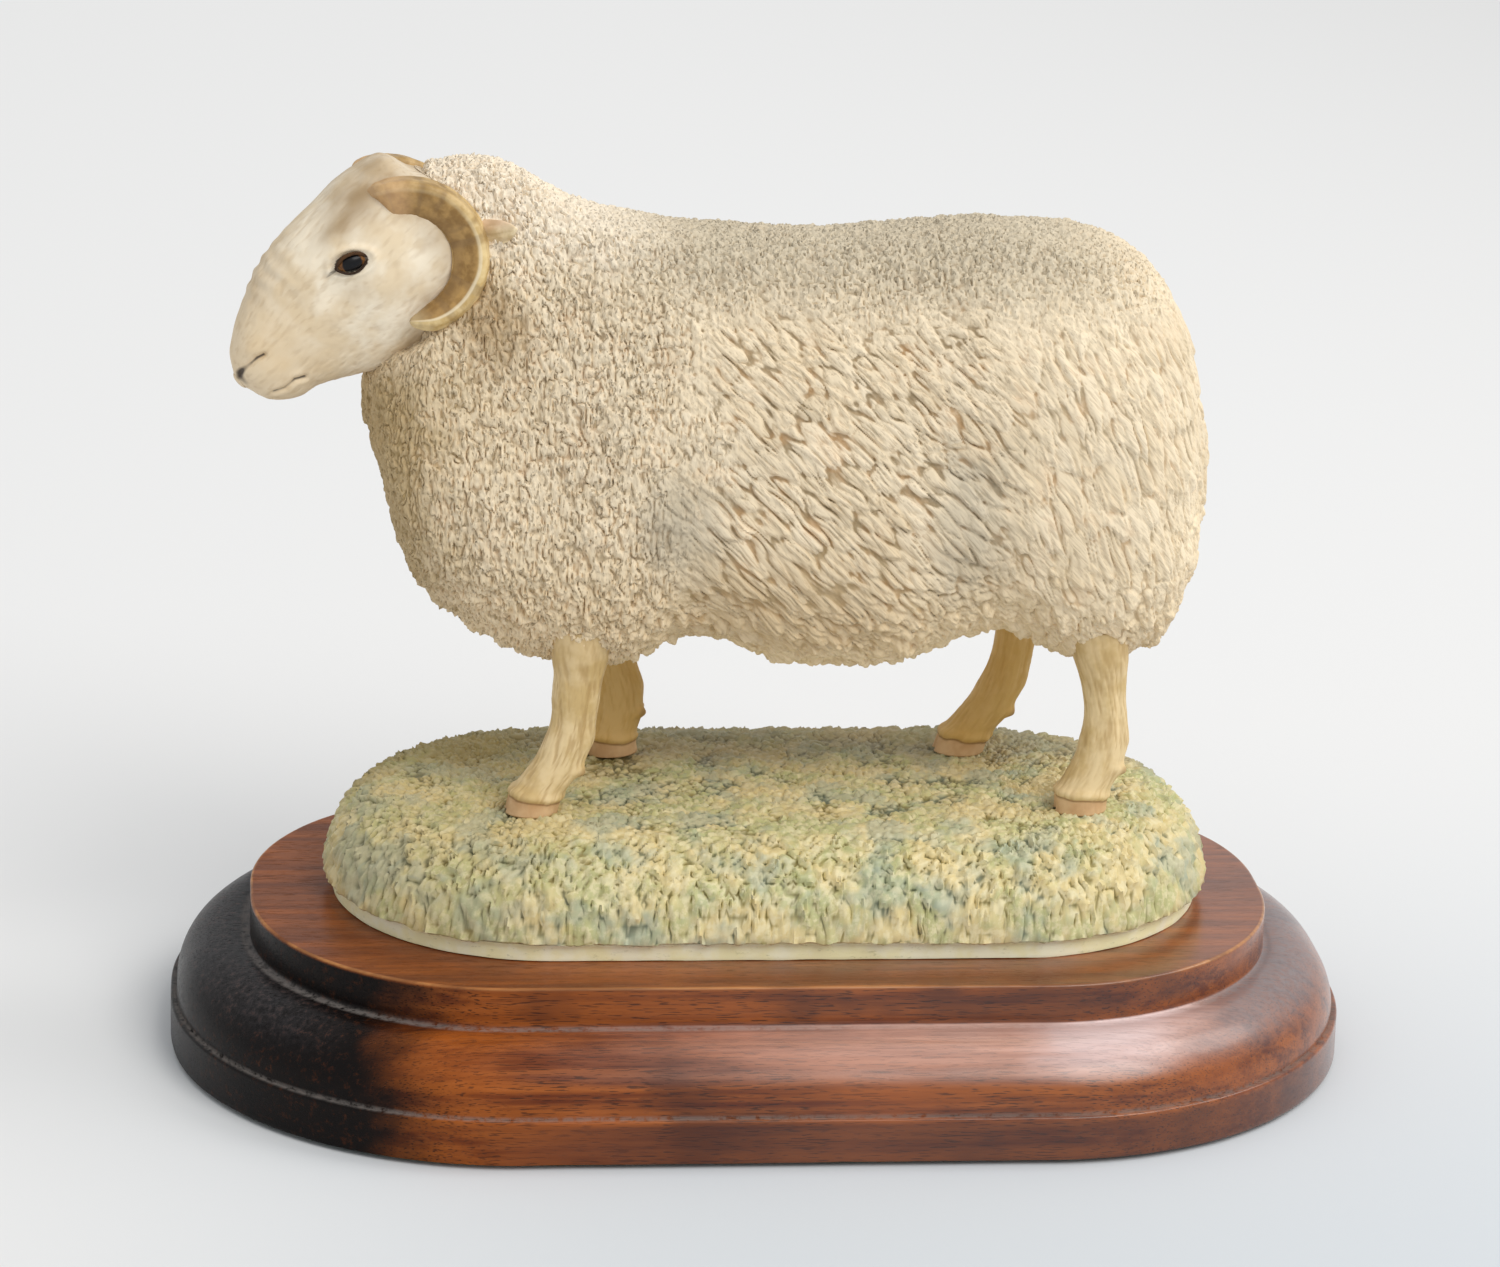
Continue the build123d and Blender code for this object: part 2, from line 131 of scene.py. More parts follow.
def shell(name, rings, fields=None, sharp_angle=None):
    """A closed mesh over a grid of rings: a face between each two neighbours of two neighbouring
    rings, and one face over the first and the last ring."""
    stations, sides = rings.shape[:2]
    points = rings.reshape(-1, 3) * mm
    here = np.arange(sides)
    after = np.roll(here, -1)
    rows = np.arange(stations - 1)[:, None] * sides
    quads = np.stack([rows + here, rows + after, rows + after + sides, rows + here + sides], -1)
    loops = np.concatenate([quads.ravel(), here[::-1], (stations - 1) * sides + here])
    starts = np.append(np.arange(0, quads.size + 1, 4), quads.size + sides)
    mesh = bpy.data.meshes.new(name)
    mesh.vertices.add(len(points))
    mesh.vertices.foreach_set("co", points.ravel())
    mesh.loops.add(len(loops))
    mesh.loops.foreach_set("vertex_index", loops)
    mesh.polygons.add(len(starts))
    mesh.polygons.foreach_set("loop_start", starts)
    mesh.update(calc_edges=True)
    mesh.polygons.foreach_set("use_smooth", np.ones(len(starts), dtype=bool))
    if sharp_angle is not None:
        mesh.set_sharp_from_angle(angle=np.radians(sharp_angle))
    for field, values in (fields or {}).items():
        made = mesh.attributes.new(field, "FLOAT", "POINT")
        made.data.foreach_set("value", np.ascontiguousarray(values, dtype=np.float32).ravel())
    return placed(name, mesh)


class Field:
    """A shader socket that adds its own Math nodes, so that a finish reads as a sum."""

    def __init__(self, finish, socket):
        self.finish = finish
        self.socket = socket

    def maths(self, operation, first, second):
        """The outcome of a Math node for two fields or numbers."""
        return self.finish.node("ShaderNodeMath", {"operation": operation}, {0: first, 1: second})

    def __add__(self, other):
        return self.maths("ADD", self, other)

    def __sub__(self, other):
        return self.maths("SUBTRACT", self, other)

    def __mul__(self, other):
        return self.maths("MULTIPLY", self, other)

    def __rsub__(self, other):
        return self.maths("SUBTRACT", other, self)

    __radd__ = __add__

    def between(self, low, high):
        """0 below the low value, 1 above the high one, and a smooth rise between them."""
        limits = {"Value": self, "From Min": low, "From Max": high}
        return self.finish.node("ShaderNodeMapRange", {"interpolation_type": "SMOOTHSTEP"}, limits)

    def below(self, low, high):
        """1 below the low value, 0 above the high one, and a smooth fall between them."""
        return 1 - self.between(low, high)

    def band(self, low, full, fading, gone):
        """1 from the full to the fading value, with a smooth rise before and a fall after."""
        return self.between(low, full) * self.below(fading, gone)


class Finish:
    """One procedural material, with a single way to add a node to it."""

    def __init__(self, name, roughness, **constants):
        self.material = bpy.data.materials.new(name)
        self.material.use_nodes = True
        self.tree = self.material.node_tree
        self.shader = self.tree.nodes["Principled BSDF"]
        self.shader.inputs["Roughness"].default_value = roughness
        for socket, value in constants.items():
            self.shader.inputs[socket.replace("_", " ")].default_value = value

    def node(self, kind, settings=None, inputs=None, output=0):
        """Add a node: first its settings, then the values or links of its sockets."""
        made = self.tree.nodes.new(kind)
        for setting, value in (settings or {}).items():
            setattr(made, setting, value)
        for socket, value in (inputs or {}).items():
            if isinstance(value, Field):
                self.tree.links.new(value.socket, made.inputs[socket])
            else:
                made.inputs[socket].default_value = value
        return Field(self, made.outputs[output])

    def place(self):
        """The place on the piece, in metres."""
        return self.node("ShaderNodeTexCoord", output="Object")

    def axis(self, name):
        """The place along one axis."""
        return self.node("ShaderNodeSeparateXYZ", None, {0: self.place()}, name)

    def field(self, name):
        """A value that the mesh holds at each point."""
        return self.node("ShaderNodeAttribute", {"attribute_name": name}, output="Fac")

    def grain(self, size_mm, detail, roughness, shift=0.0, tilt=0.0):
        """Noise whose spots have one size in millimetres, or one size along each axis, and may
        be tilted about Y by an angle in degrees."""
        sizes = np.broadcast_to(size_mm, 3) * mm
        inputs = {"Location": tuple(-shift * sizes), "Rotation": (0.0, np.radians(tilt), 0.0)}
        inputs.update({"Scale": tuple(sizes), "Vector": self.place()})
        scaled = self.node("ShaderNodeMapping", {"vector_type": "TEXTURE"}, inputs)
        inputs = {"Vector": scaled, "Scale": 1.0, "Detail": detail, "Roughness": roughness}
        return self.node("ShaderNodeTexNoise", None, inputs)

    def mix(self, share, first, second):
        """The first colour, with a share of the second one in its place."""
        inputs = {0: share}
        for socket, colour in ((6, first), (7, second)):
            inputs[socket] = colour if isinstance(colour, Field) else (*colour, 1.0)
        return self.node("ShaderNodeMix", {"data_type": "RGBA", "clamp_factor": True}, inputs, 2)

    def lay(self, colour, *coats):
        """Lay coats of paint over a colour in turn, each with its share and its own colour, and
        feed the outcome to the shader's colour."""
        for share, coat in coats:
            colour = self.mix(share, colour, coat)
        self.feed("Base Color", colour)

    def feed(self, socket, value):
        """Link a field to a socket of the shader."""
        self.tree.links.new(value.socket, self.shader.inputs[socket])

    def relief(self, height, depth_mm, strength=1.0):
        """Feed a bump, whose full height is the given depth, to the shader's normal."""
        inputs = {"Height": height, "Distance": depth_mm * mm, "Strength": strength}
        self.feed("Normal", self.node("ShaderNodeBump", None, inputs))


def dress(piece, finish, slot, *nodes):
    """Give a piece its material, hang it under the root body, and hide the CAD nodes it stands for; the
    slot is not used.
    """
    piece.data.materials.clear()
    piece.data.materials.append(finish.material)
    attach(piece, "root")
    if nodes:
        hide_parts(*nodes)


def plinth_rings(columns):
    """The profile, as inset and height, carried round the rounded rectangle. Returns the rings,
    how worn each place is, and how dusty."""
    bottom, top = plinth_low[2], plinth_high[2]
    band_top = bottom + band_height
    step_foot = top - step_height
    ovolo_turn = np.linspace(0, np.pi / 2, 22)
    edge_turn = np.linspace(0, np.pi / 2, 5)
    edge_in = edge_round * (1 - np.cos(edge_turn))
    edge_down = edge_round * (1 - np.sin(edge_turn))
    inset = np.concatenate([
        [50, 30, 8, 0.4, 0.1, 0],
        np.zeros(6),
        edge_in,
        [band_quirk],
        band_quirk + ovolo_radius * (1 - np.cos(ovolo_turn)),
        [step_inset - 1, step_inset - 0.2, step_inset],
        np.full(5, step_inset),
        step_inset + edge_in,
        [step_inset + 0.7, step_inset + 1.0, step_inset + 2, step_inset + 8, step_inset + 20, 50],
    ])
    height = np.concatenate([
        [bottom, bottom, bottom, bottom, bottom + 0.1, bottom + 0.4],
        np.linspace(bottom + 1, band_top - edge_round - 0.2, 6),
        band_top - edge_down,
        [band_top],
        step_foot - ovolo_radius * (1 - np.sin(ovolo_turn)),
        [step_foot, step_foot, step_foot + 0.2],
        np.linspace(step_foot + 1, top - edge_round - 0.2, 5),
        top - edge_down,
        np.full(6, top),
    ])
    half = (plinth_high - plinth_low)[:2] / 2
    centre, way = outline(half[0] - plinth_corner, half[1] - plinth_corner, plinth_corner, columns)
    flat = centre + way * (plinth_corner - inset[:, None, None])
    wear = bell(inset, step_inset + 0.2, 0.32) * bell(height, top, 0.5)
    wear += 0.22 * bell(inset, 0.2, 0.5) * bell(height, band_top, 0.6)
    dust = bell(inset, band_quirk, 0.9) * bell(height, band_top, 0.5)
    dust += bell(inset, step_inset - 0.8, 1.1) * bell(height, step_foot, 0.8)
    spread = np.ones(columns)
    return raised(flat, height), wear[:, None] * spread, dust[:, None] * spread


def mahogany():
    """Reddish-brown wood along X: long grain, short dark pores, a soft painted highlight on the front of
    the ovolo and a brighter one towards its right end, painted near-black shade over the left end, orange
    wear on the edges and grey dust in the corners."""
    wood = Finish("mahogany", 0.30, Coat_Roughness=0.24, IOR=1.5, Specular_IOR_Level=0.12)
    figure = wood.grain((60, 4, 3), 4.0, 0.6)
    ribbon = wood.grain((26, 1.1, 0.9), 3.0, 0.6, 3.1)
    pores = wood.grain((2.8, 0.20, 0.20), 1.0, 0.4, 7.7).between(0.58, 0.68)
    patches = wood.grain((34, 20, 20), 3.0, 0.6, 1.3)
    sheen = wood.grain((44, 2.6, 3), 4.0, 0.6, 6.1)
    fluff = wood.grain(1.2, 4.0, 0.7, 4.4)
    along = wood.axis("X") + (patches - 0.5) * 0.034
    level = wood.axis("Z").between(0.0252, 0.0258)
    worn = wood.field("wear").between(0.25, 0.85) * patches.between(0.28, 0.52)
    # painted shade: the left end of the wood is painted nearly black
    painted_left_shade = along.below(-0.068, -0.050) * (1 - level)
    settled = wood.field("dust").between(0.30, 0.95) * fluff.between(0.30, 0.55)
    ovolo_band = wood.axis("Z").band(0.0125, 0.0185, 0.0192, 0.0196)
    ends = along.below(-0.088, -0.066) + along.between(0.062, 0.088) * 2.4
    veil = ovolo_band * (ends * fluff.between(0.30, 0.75) * 0.16 + along.between(0.062, 0.080) * 0.52)
    # painted highlights: a soft sheen along the front of the ovolo and a brighter patch towards its right
    # end
    painted_glow = ovolo_band * along.band(-0.050, 0.030, 0.060, 0.088) * (0.24 + ribbon * 0.66)
    painted_shine = ovolo_band * along.band(0.032, 0.050, 0.056, 0.074) * (0.30 + ribbon * 0.40)
    foot = wood.axis("Z").below(0.0070, 0.0082) * along.between(-0.060, -0.020)
    red_brown = wood.mix(figure.between(0.34, 0.66), (0.110, 0.022, 0.006), (0.300, 0.078, 0.011))
    wood.lay(
        red_brown,
        (ribbon.between(0.35, 0.75) * 0.55, (0.37, 0.108, 0.024)),
        (pores * 0.70, (0.016, 0.007, 0.006)),
        (patches.between(0.50, 0.68) * 0.38, (0.40, 0.105, 0.020)),
        (patches.below(0.34, 0.48) * 0.55, (0.050, 0.016, 0.011)),
        (worn * 0.9, (0.58, 0.28, 0.10)),
        (level * 0.34, (0.36, 0.115, 0.032)),
        (level * sheen.below(0.36, 0.60) * 0.50, (0.10, 0.028, 0.012)),
        (painted_left_shade * (0.99 - fluff.between(0.52, 0.72) * 0.16), (0.0030, 0.0026, 0.0026)),
        (settled * 0.50, (0.30, 0.27, 0.25)),
        (painted_glow, (0.74, 0.46, 0.38)),
        (painted_shine, (0.86, 0.74, 0.76)),
        (veil, (0.23, 0.21, 0.22)),
        (foot * 0.55, (0.060, 0.018, 0.012)),
    )
    wood.feed("Coat Weight", along.between(-0.060, 0.020) * (1 - settled) * 0.95)
    wood.feed("Roughness", 0.26 + settled * 0.4 + veil * 0.5 + pores * 0.25 + patches * 0.08)
    wood.relief(ribbon * 0.3 - pores + fluff * 0.12, 0.10, 0.6)
    return wood


plinth_grid, plinth_wear, plinth_dust = plinth_rings(plinth_columns)
plinth_grid = heaved(plinth_grid, wood_heave * lumps(plinth_grid, 9, 5))
plinth_piece = shell("plinth_wood", plinth_grid, {"wear": plinth_wear, "dust": plinth_dust}, 50)
dress(plinth_piece, mahogany(), "mahogany", "plinth")

# The baize: a thin green wool cloth glued under the plinth, so that it doesn't scratch a shelf.
# It is cut a little smaller than the plinth and stays as its CAD node.
baize = Finish("baize", 0.95, Sheen_Weight=0.3)
nap = baize.grain((0.35, 0.35, 0.35), 4.0, 0.7)
baize.feed("Base Color", baize.mix(nap.between(0.3, 0.7), (0.030, 0.095, 0.050), (0.075, 0.19, 0.105)))
baize.relief(nap, 0.12)
dress(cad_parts["baize_pad"], baize, "baize")

# The screws: two slotted pan-head screws, turned up through the plinth into the turf casting.
# They are of zinc-dulled steel and stay as their CAD node, inside their counterbores.
screw_steel = Finish("screw_steel", 0.42, Metallic=1.0)
brushed = screw_steel.grain((0.2, 0.2, 2.5), 3.0, 0.6)
screw_steel.feed("Base Color", screw_steel.mix(brushed, (0.42, 0.41, 0.39), (0.66, 0.65, 0.62)))
screw_steel.relief(brushed, 0.03)
dress(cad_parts["fixing_screws"], screw_steel, "screw_steel")

# The turf: a resin casting with a smooth rim and a bank of short modelled grass that overhangs it.
# It is painted in mottled straw, pale green and grey-blue, and two screws hold it from below.
turf_low, turf_high = (np.array(corner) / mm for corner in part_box("turf_base"))
turf_middle = (turf_low + turf_high) / 2
grass_overhang = 1.6
grass_lip = 1.25
grass_lean = np.radians(40.0)
grass_sink = 0.80
rim_height = 2.4
rim_face_height = 2.7
rim_edge_round = 0.5
rim_columns = 360
bank_width = 13.0
turf_rows = 115
turf_columns = 920
cell_scatter = 0.42
turf_radius = (turf_high - turf_low)[1] / 2 - grass_overhang
turf_spacing = (turf_high - turf_low)[0] / 2 - grass_overhang - turf_radius
rim_top = turf_low[2] + rim_height
ground = turf_high[2]
under_lip = np.array(((9.0, 0.8), (3.0, 0.8), (0.9, 0.8), (0.2, 1.0)))
bank_shares = np.array((
    (0.00, 0.00),
    (0.13, 0.42),
    (0.40, 0.76),
    (0.70, 0.93),
    (1.00, 1.00),
))


def table_curve(table, share):
    """Every column of a table at shares of the way along, on smooth curves through its rows."""
    last = len(table) - 2
    index = np.clip(np.searchsorted(table[:, 0], share, side="right") - 1, 0, last)
    here, following = table[index], table[index + 1]
    before, after = table[np.maximum(index - 1, 0)], table[np.minimum(index + 2, last + 1)]
    run = following[..., :1] - here[..., :1]
    t = (np.asarray(share)[..., None] - here[..., :1]) / run
    slope_here = (following - before) / (following[..., :1] - before[..., :1]) * run
    slope_next = (after - here) / (after[..., :1] - here[..., :1]) * run
    values = (2 * t**3 - 3 * t**2 + 1) * here + (t**3 - 2 * t**2 + t) * slope_here
    values = values + (3 * t**2 - 2 * t**3) * following + (t**3 - t**2) * slope_next
    return [values[..., column] for column in range(1, table.shape[1])]


def smooth(value, low, high):
    """0 below low, 1 above high, and a smooth rise between them."""
    share = np.clip((value - low) / (high - low), 0, 1)
    return share * share * (3 - 2 * share)


def sway(places, size, axes, seed):
    """Smooth random steps from -1 to 1 along a number of axes."""
    return np.stack([lumps(places, size, seed + axis) for axis in range(axes)], -1)


def cells(points, sizes, seed):
    """Points are scattered one to a box of the given sizes. For each place: the step from the
    nearest point to the second nearest, which is 0 on the line between two clumps, the place
    within its clump along the last axis, and that clump's own number from 0 to 1."""
    axes = points.shape[-1]
    scaled = points / np.array(sizes) - 0.5
    corner = np.floor(scaled).astype(np.int64)
    nearest = np.full(points.shape[:-1], 9.0)
    second = np.full(points.shape[:-1], 9.0)
    along = np.zeros(points.shape[:-1])
    number = np.zeros(points.shape[:-1])
    for step in np.ndindex(*(2,) * axes):
        box = corner + np.array(step)
        key = box_key(box, seed)
        spread = np.stack([lattice_value(key >> 3 * axis) for axis in range(axes)], -1)
        off = scaled - box - cell_scatter * spread
        distance = np.sqrt(np.sum(off**2, -1))
        closer = distance < nearest
        second = np.where(closer, nearest, np.minimum(second, distance))
        nearest = np.where(closer, distance, nearest)
        along = np.where(closer, off[..., -1], along)
        number = np.where(closer, lattice_value(key >> 5) / 2 + 0.5, number)
    return second - nearest, along, number


def turf_paint():
    """Matt paint: straw, pale green and grey-blue patches, darker olive in the hollows."""
    paint = Finish("turf_paint", 0.50, Specular_IOR_Level=0.45)
    wide = paint.grain(9.0, 3.0, 0.6)
    blue = paint.grain(11.0, 3.0, 0.6, 5.0)
    fine = paint.grain(0.9, 3.0, 0.6, 9.0)
    mottle = paint.grain(1.7, 3.0, 0.65, 3.0)
    tuft = paint.field("tone").below(0.05, 0.40)
    hollow = paint.field("depth").below(0.06, 0.62)
    back = (paint.axis("Y") + (wide - 0.5) * 0.02).between(0.002, 0.020)
    left = (paint.axis("X") + (blue - 0.5) * 0.03).below(-0.050, -0.020)
    shade = paint.mix(blue.between(0.42, 0.58), (0.24, 0.19, 0.05), (0.12, 0.15, 0.10))
    straw = paint.mix(wide.between(0.38, 0.60), (0.52, 0.52, 0.25), (0.74, 0.61, 0.31))
    paint.lay(
        straw,
        (mottle.between(0.44, 0.60) * 0.60, (0.84, 0.75, 0.48)),
        (blue.between(0.49, 0.60) * (0.75 - mottle * 0.5) + tuft * 0.26, (0.36, 0.43, 0.35)),
        (hollow * 0.90, shade),
        (back * 0.62 * paint.axis("Z").between(0.036, 0.042), (0.24, 0.20, 0.12)),
        (left * back * 0.50, (0.34, 0.26, 0.05)),
        (left * 0.24 + 0.06, (0.36, 0.25, 0.07)),
    )
    paint.feed("Roughness", 0.46 + fine * 0.12)
    paint.relief(fine, 0.12, 0.4)
    return paint


def drums(name, grid, normals, fields, cuts, finish, slot, *nodes):
    """Cut one long grid of rings into closed pieces at the given rows. Each piece laps its
    neighbour by a row that is sunk a hair, and then turns in under it, so that no seam shows."""
    hair, turned_in = 0.04, 1.5
    for number, (first, last) in enumerate(zip(cuts, cuts[1:]), 1):
        low, high = max(first - 2, 0), min(last + 3, len(grid))
        rows = np.arange(low, high)
        sink = np.select(
            [rows <= first - 2, rows == first - 1, rows == last + 1, rows >= last + 2],
            [turned_in, hair, hair, turned_in], 0.0,
        )
        sink[(rows < 3) | (rows > len(grid) - 4)] = 0.0
        part = grid[low:high] - normals[low:high] * sink[:, None, None]
        part_fields = {field: values[low:high] for field, values in fields.items()}
        piece = shell(f"{name}_{number}", part, part_fields, 65)
        dress(piece, finish, slot, *(nodes if number == 1 else ()))


def turf_relief(grid, inset, run, round_share):
    """Leaf-shaped clumps that run down the bank and lean to one side, and small nubs on top,
    blended over the bank's shoulder. Returns the height, its share of the depth and the tint."""
    length = 4 * turf_spacing + 2 * np.pi * turf_radius
    flat = np.stack(np.broadcast_arrays(round_share * length, run), -1)
    warped = flat + 1.5 * sway(grid, 2.8, 2, 11)
    across = warped[..., 0] * np.cos(grass_lean) - warped[..., 1] * np.sin(grass_lean)
    down = -warped[..., 0] * np.sin(grass_lean) - warped[..., 1] * np.cos(grass_lean)
    leaning = np.stack([across, down], -1)
    edge, tip, clump_tint = cells(leaning, (1.6, 3.6), 13)
    vein, _, vein_tint = cells(leaning, (0.80, 2.9), 14)
    clump = smooth(edge, 0.0, 0.30) * (0.62 + 0.90 * tip) + 0.42 * smooth(vein, 0.0, 0.40)
    x, y = grid[..., 0], grid[..., 1]
    turned = np.stack([x * 0.86 - y * 0.50, x * 0.50 + y * 0.86], -1) + sway(grid, 2.6, 2, 16)
    nub_edge, _, nub_tint = cells(turned, (2.3, 1.5), 18)
    chip, _, chip_tint = cells(turned + 40, (1.1, 1.5), 21)
    nub = 0.50 * smooth(nub_edge, 0.0, 0.40) * (0.6 + 0.8 * nub_tint) + 0.34 * smooth(chip, 0.0, 0.45)
    nub = nub + 0.40 * lumps(grid, 4.5, 19)
    top = smooth(inset + 2.5 * lumps(grid, 6, 20), bank_width - 5.0, bank_width + 3.0)
    height = clump * 1.05 * (1 - top) + nub * top
    tint = (0.55 * clump_tint + 0.45 * vein_tint) * (1 - top) + (0.5 * nub_tint + 0.5 * chip_tint) * top
    return height, np.clip(height / (0.95 - 0.25 * top), 0, 1.2), tint


def rim_paint():
    """Pale yellow-green paint, made paler still as painted light against the shade under the grass's
    overhang, with a little darker dirt.
    """
    paint = Finish("turf_rim_paint", 0.42, Specular_IOR_Level=0.45)
    tone = paint.grain(6.0, 3.0, 0.6)
    dirt = paint.grain((2.0, 2.0, 0.8), 4.0, 0.7, 6.0)
    # pale paint, lightened as painted light where the grass's overhang shades the rim
    pale_rim_and_painted_light = paint.mix(tone.between(0.40, 0.65), (0.96, 0.92, 0.56), (1.0, 0.99, 0.74))
    paint.lay(pale_rim_and_painted_light, (dirt.between(0.58, 0.70) * 0.35, (0.33, 0.33, 0.13)))
    paint.relief(dirt, 0.05)
    return paint


turf_reach = turf_radius + grass_overhang
turf_inset = np.concatenate([under_lip[:, 0], np.linspace(0, turf_reach, turf_rows), [turf_reach - 0.3]])
rise, = table_curve(bank_shares, np.clip(turf_inset / bank_width, 0, 1))
turf_level = rim_top + grass_lip + (ground - rim_top - grass_lip) * rise
turf_level[: len(under_lip)] = rim_top + under_lip[:, 1]
turf_run = np.hypot(np.gradient(turf_inset), np.gradient(turf_level))
turf_run = (np.cumsum(turf_run) - np.sum(turf_run[: len(under_lip)]))[:, None]
turf_inset = turf_inset[:, None]
turf_centre, turf_way = outline(turf_spacing, 0, turf_radius, turf_columns)
turf_flat = turf_middle[:2] + turf_centre + turf_way * (turf_reach - turf_inset)[..., None]
turf_grid = raised(turf_flat, turf_level)
turf_share = np.arange(turf_columns) / turf_columns
height, depth, tint = turf_relief(turf_grid, turf_inset, turf_run, turf_share)
turf_normal = grid_normals(turf_grid)
turf_normal[turf_inset[:, 0] > bank_width] = [0, 0, 1]
turf_held = smooth(np.arange(len(turf_grid)), 2, 6)[:, None]
turf_ragged = bell(turf_inset, 0, 0.9) * 0.4 * lumps(turf_grid, 2.4, 22)
turf_grid = turf_grid + turf_normal * ((height - grass_sink) * turf_held)[..., None]
turf_grid[..., 2] += turf_ragged
turf_grid[-1, :, 2] = ground - 3.0
turf_fields = {"depth": depth, "tone": tint}
turf_cuts = (0, 52, 119)
drums("turf_cast", turf_grid, turf_normal, turf_fields, turf_cuts, turf_paint(), "turf", "turf_base")

rim_turn = np.linspace(0, np.pi / 2, 6)
rim_inset = np.concatenate([
    [6, 0.5, 0.1],
    np.full(6, 0.05),
    rim_edge_round * (1 - np.cos(rim_turn)),
    [8],
])
rim_rise = np.concatenate([
    [0, 0, 0.12],
    np.linspace(0.3, rim_face_height - 0.1, 6),
    rim_face_height + rim_edge_round * np.sin(rim_turn),
    [rim_face_height + rim_edge_round],
])
rim_centre, rim_way = outline(turf_spacing, 0, turf_radius, rim_columns)
rim_flat = turf_middle[:2] + rim_centre + rim_way * (turf_radius - rim_inset)[:, None, None]
rim_grid = raised(rim_flat, turf_low[2] + rim_rise)
rim_grid = heaved(rim_grid, 0.10 * lumps(rim_grid, 5.0, 15))
dress(shell("turf_rim", rim_grid, None, 50), rim_paint(), "turf")

# The pins: bright steel wires cast into the turf and run up through each leg into the body.
# They stay as their CAD node, buried along their whole length.
pin_steel = Finish("pin_steel", 0.30, Metallic=1.0)
drawn = pin_steel.grain((0.3, 0.3, 4.0), 2.0, 0.5)
pin_steel.feed("Base Color", pin_steel.mix(drawn, (0.50, 0.50, 0.50), (0.72, 0.72, 0.71)))
pin_steel.relief(drawn, 0.02)
dress(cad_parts["leg_pins"], pin_steel, "pin_steel")

# The legs: four resin castings of one form, painted cream with hair strokes and brown hooves.
# Each is set on its steel pin and glued into the fleece casting at the top.
sheep_y = turf_middle[1]
leg_height = 32.0
leg_length = 9.0
leg_width = 7.6
pastern_set = 6.4
hoof_height = 2.4
dewclaw_height = 7.4
knee_height = 20.0
leg_rows = 130
leg_sides = 88
leg_shares = np.array((
    (0.00, 0.00, 0.82, 0.86),
    (0.09, 0.06, 0.98, 1.00),
    (0.20, 0.42, 1.00, 0.92),
    (0.29, 0.66, 0.93, 0.88),
    (0.38, 0.83, 0.93, 0.86),
    (0.50, 0.94, 0.81, 0.78),
    (0.62, 0.98, 0.80, 0.80),
    (0.74, 1.00, 0.90, 0.92),
    (0.84, 1.00, 1.04, 1.06),
    (1.00, 1.00, 1.12, 1.14),
))
leg_places = {
    "left_foreleg": (-39.9, -15.0, 1.2, 0.0),
    "right_foreleg": (-24.3, 15.0, -12.0, 0.0),
    "left_hindleg": (52.6, -15.0, -5.4, 1.0),
    "right_hindleg": (36.0, 15.0, 4.2, 1.0),
}


def whole_turn(count):
    """Angles in equal steps round a whole turn."""
    return np.arange(count) / count * 2 * np.pi


def band(value, low, full, fading, gone):
    """1 from the full to the fading value, with a smooth rise before and a fall after."""
    return smooth(value, low, full) * (1 - smooth(value, fading, gone))


def leg_grid(foot_x, foot_y, lean, hind, seed):
    """Ellipses up the leg, swollen at the coronet, the dewclaws and the joint, with a cleft
    down the front of the hoof, grooves beside the tendon and fine hair along the leg."""
    share = np.linspace(0, 1, leg_rows)[:, None]
    angle = whole_turn(leg_sides)[None, :]
    setting, length, width = table_curve(leg_shares, share)
    height = ground + leg_height * share
    x = foot_x + pastern_set * setting + lean * share + leg_length * length / 2 * np.cos(angle)
    y = sheep_y + foot_y + leg_width * width / 2 * np.sin(angle)
    grid = np.stack([x, y, np.broadcast_to(height, x.shape)], -1)
    above = (height - ground) * np.ones_like(angle)
    around = np.stack([np.cos(angle) * 2 + 0 * share, np.sin(angle) * 2 + 0 * share, 0 * above + seed], -1)
    line = hoof_height + 0.30 * lumps(around, 0.9, seed) - 0.35 * np.cos(angle)
    hoof = 1 - smooth(above, line - 0.22, line + 0.22)
    toe = (1 - np.cos(angle)) / 2
    swell = 0.55 * bell(above, line + 0.75, 0.75)
    swell += hoof * (0.10 + (0.45 + 0.60 * toe) * (1 - above / hoof_height))
    swell -= 0.9 * bell(angle, np.pi, 0.16) * (1 - smooth(above, hoof_height - 0.5, hoof_height + 1.0))
    back = np.minimum(angle, 2 * np.pi - angle)
    claw = bell(back, 0.50, 0.26) * bell(above, dewclaw_height, 0.95)
    swell += 1.15 * claw
    swell += 0.35 * bell(above, knee_height, 3.2) * (1 - hind) * (1 + 0.6 * np.cos(angle - np.pi))
    swell -= 0.38 * bell(back, 0.95, 0.22) * band(above, 7, 11, 22, 28)
    stretched = np.stack([(angle + 0 * share) * 4.4 + 0.15 * above, above / 7.5, 0 * above + seed], -1)
    hair = lumps(stretched, 0.42, seed) + 0.6 * lumps(stretched, 0.23, seed + 1)
    swell += 0.10 * hair * (1 - hoof)
    fields = {"hoof": hoof, "hair": 0.5 + 0.4 * hair, "up": above / leg_height, "claw": claw}
    fields["far"] = np.full(above.shape, 1.0 if foot_y > 0 else 0.0)
    return heaved(grid, swell), fields


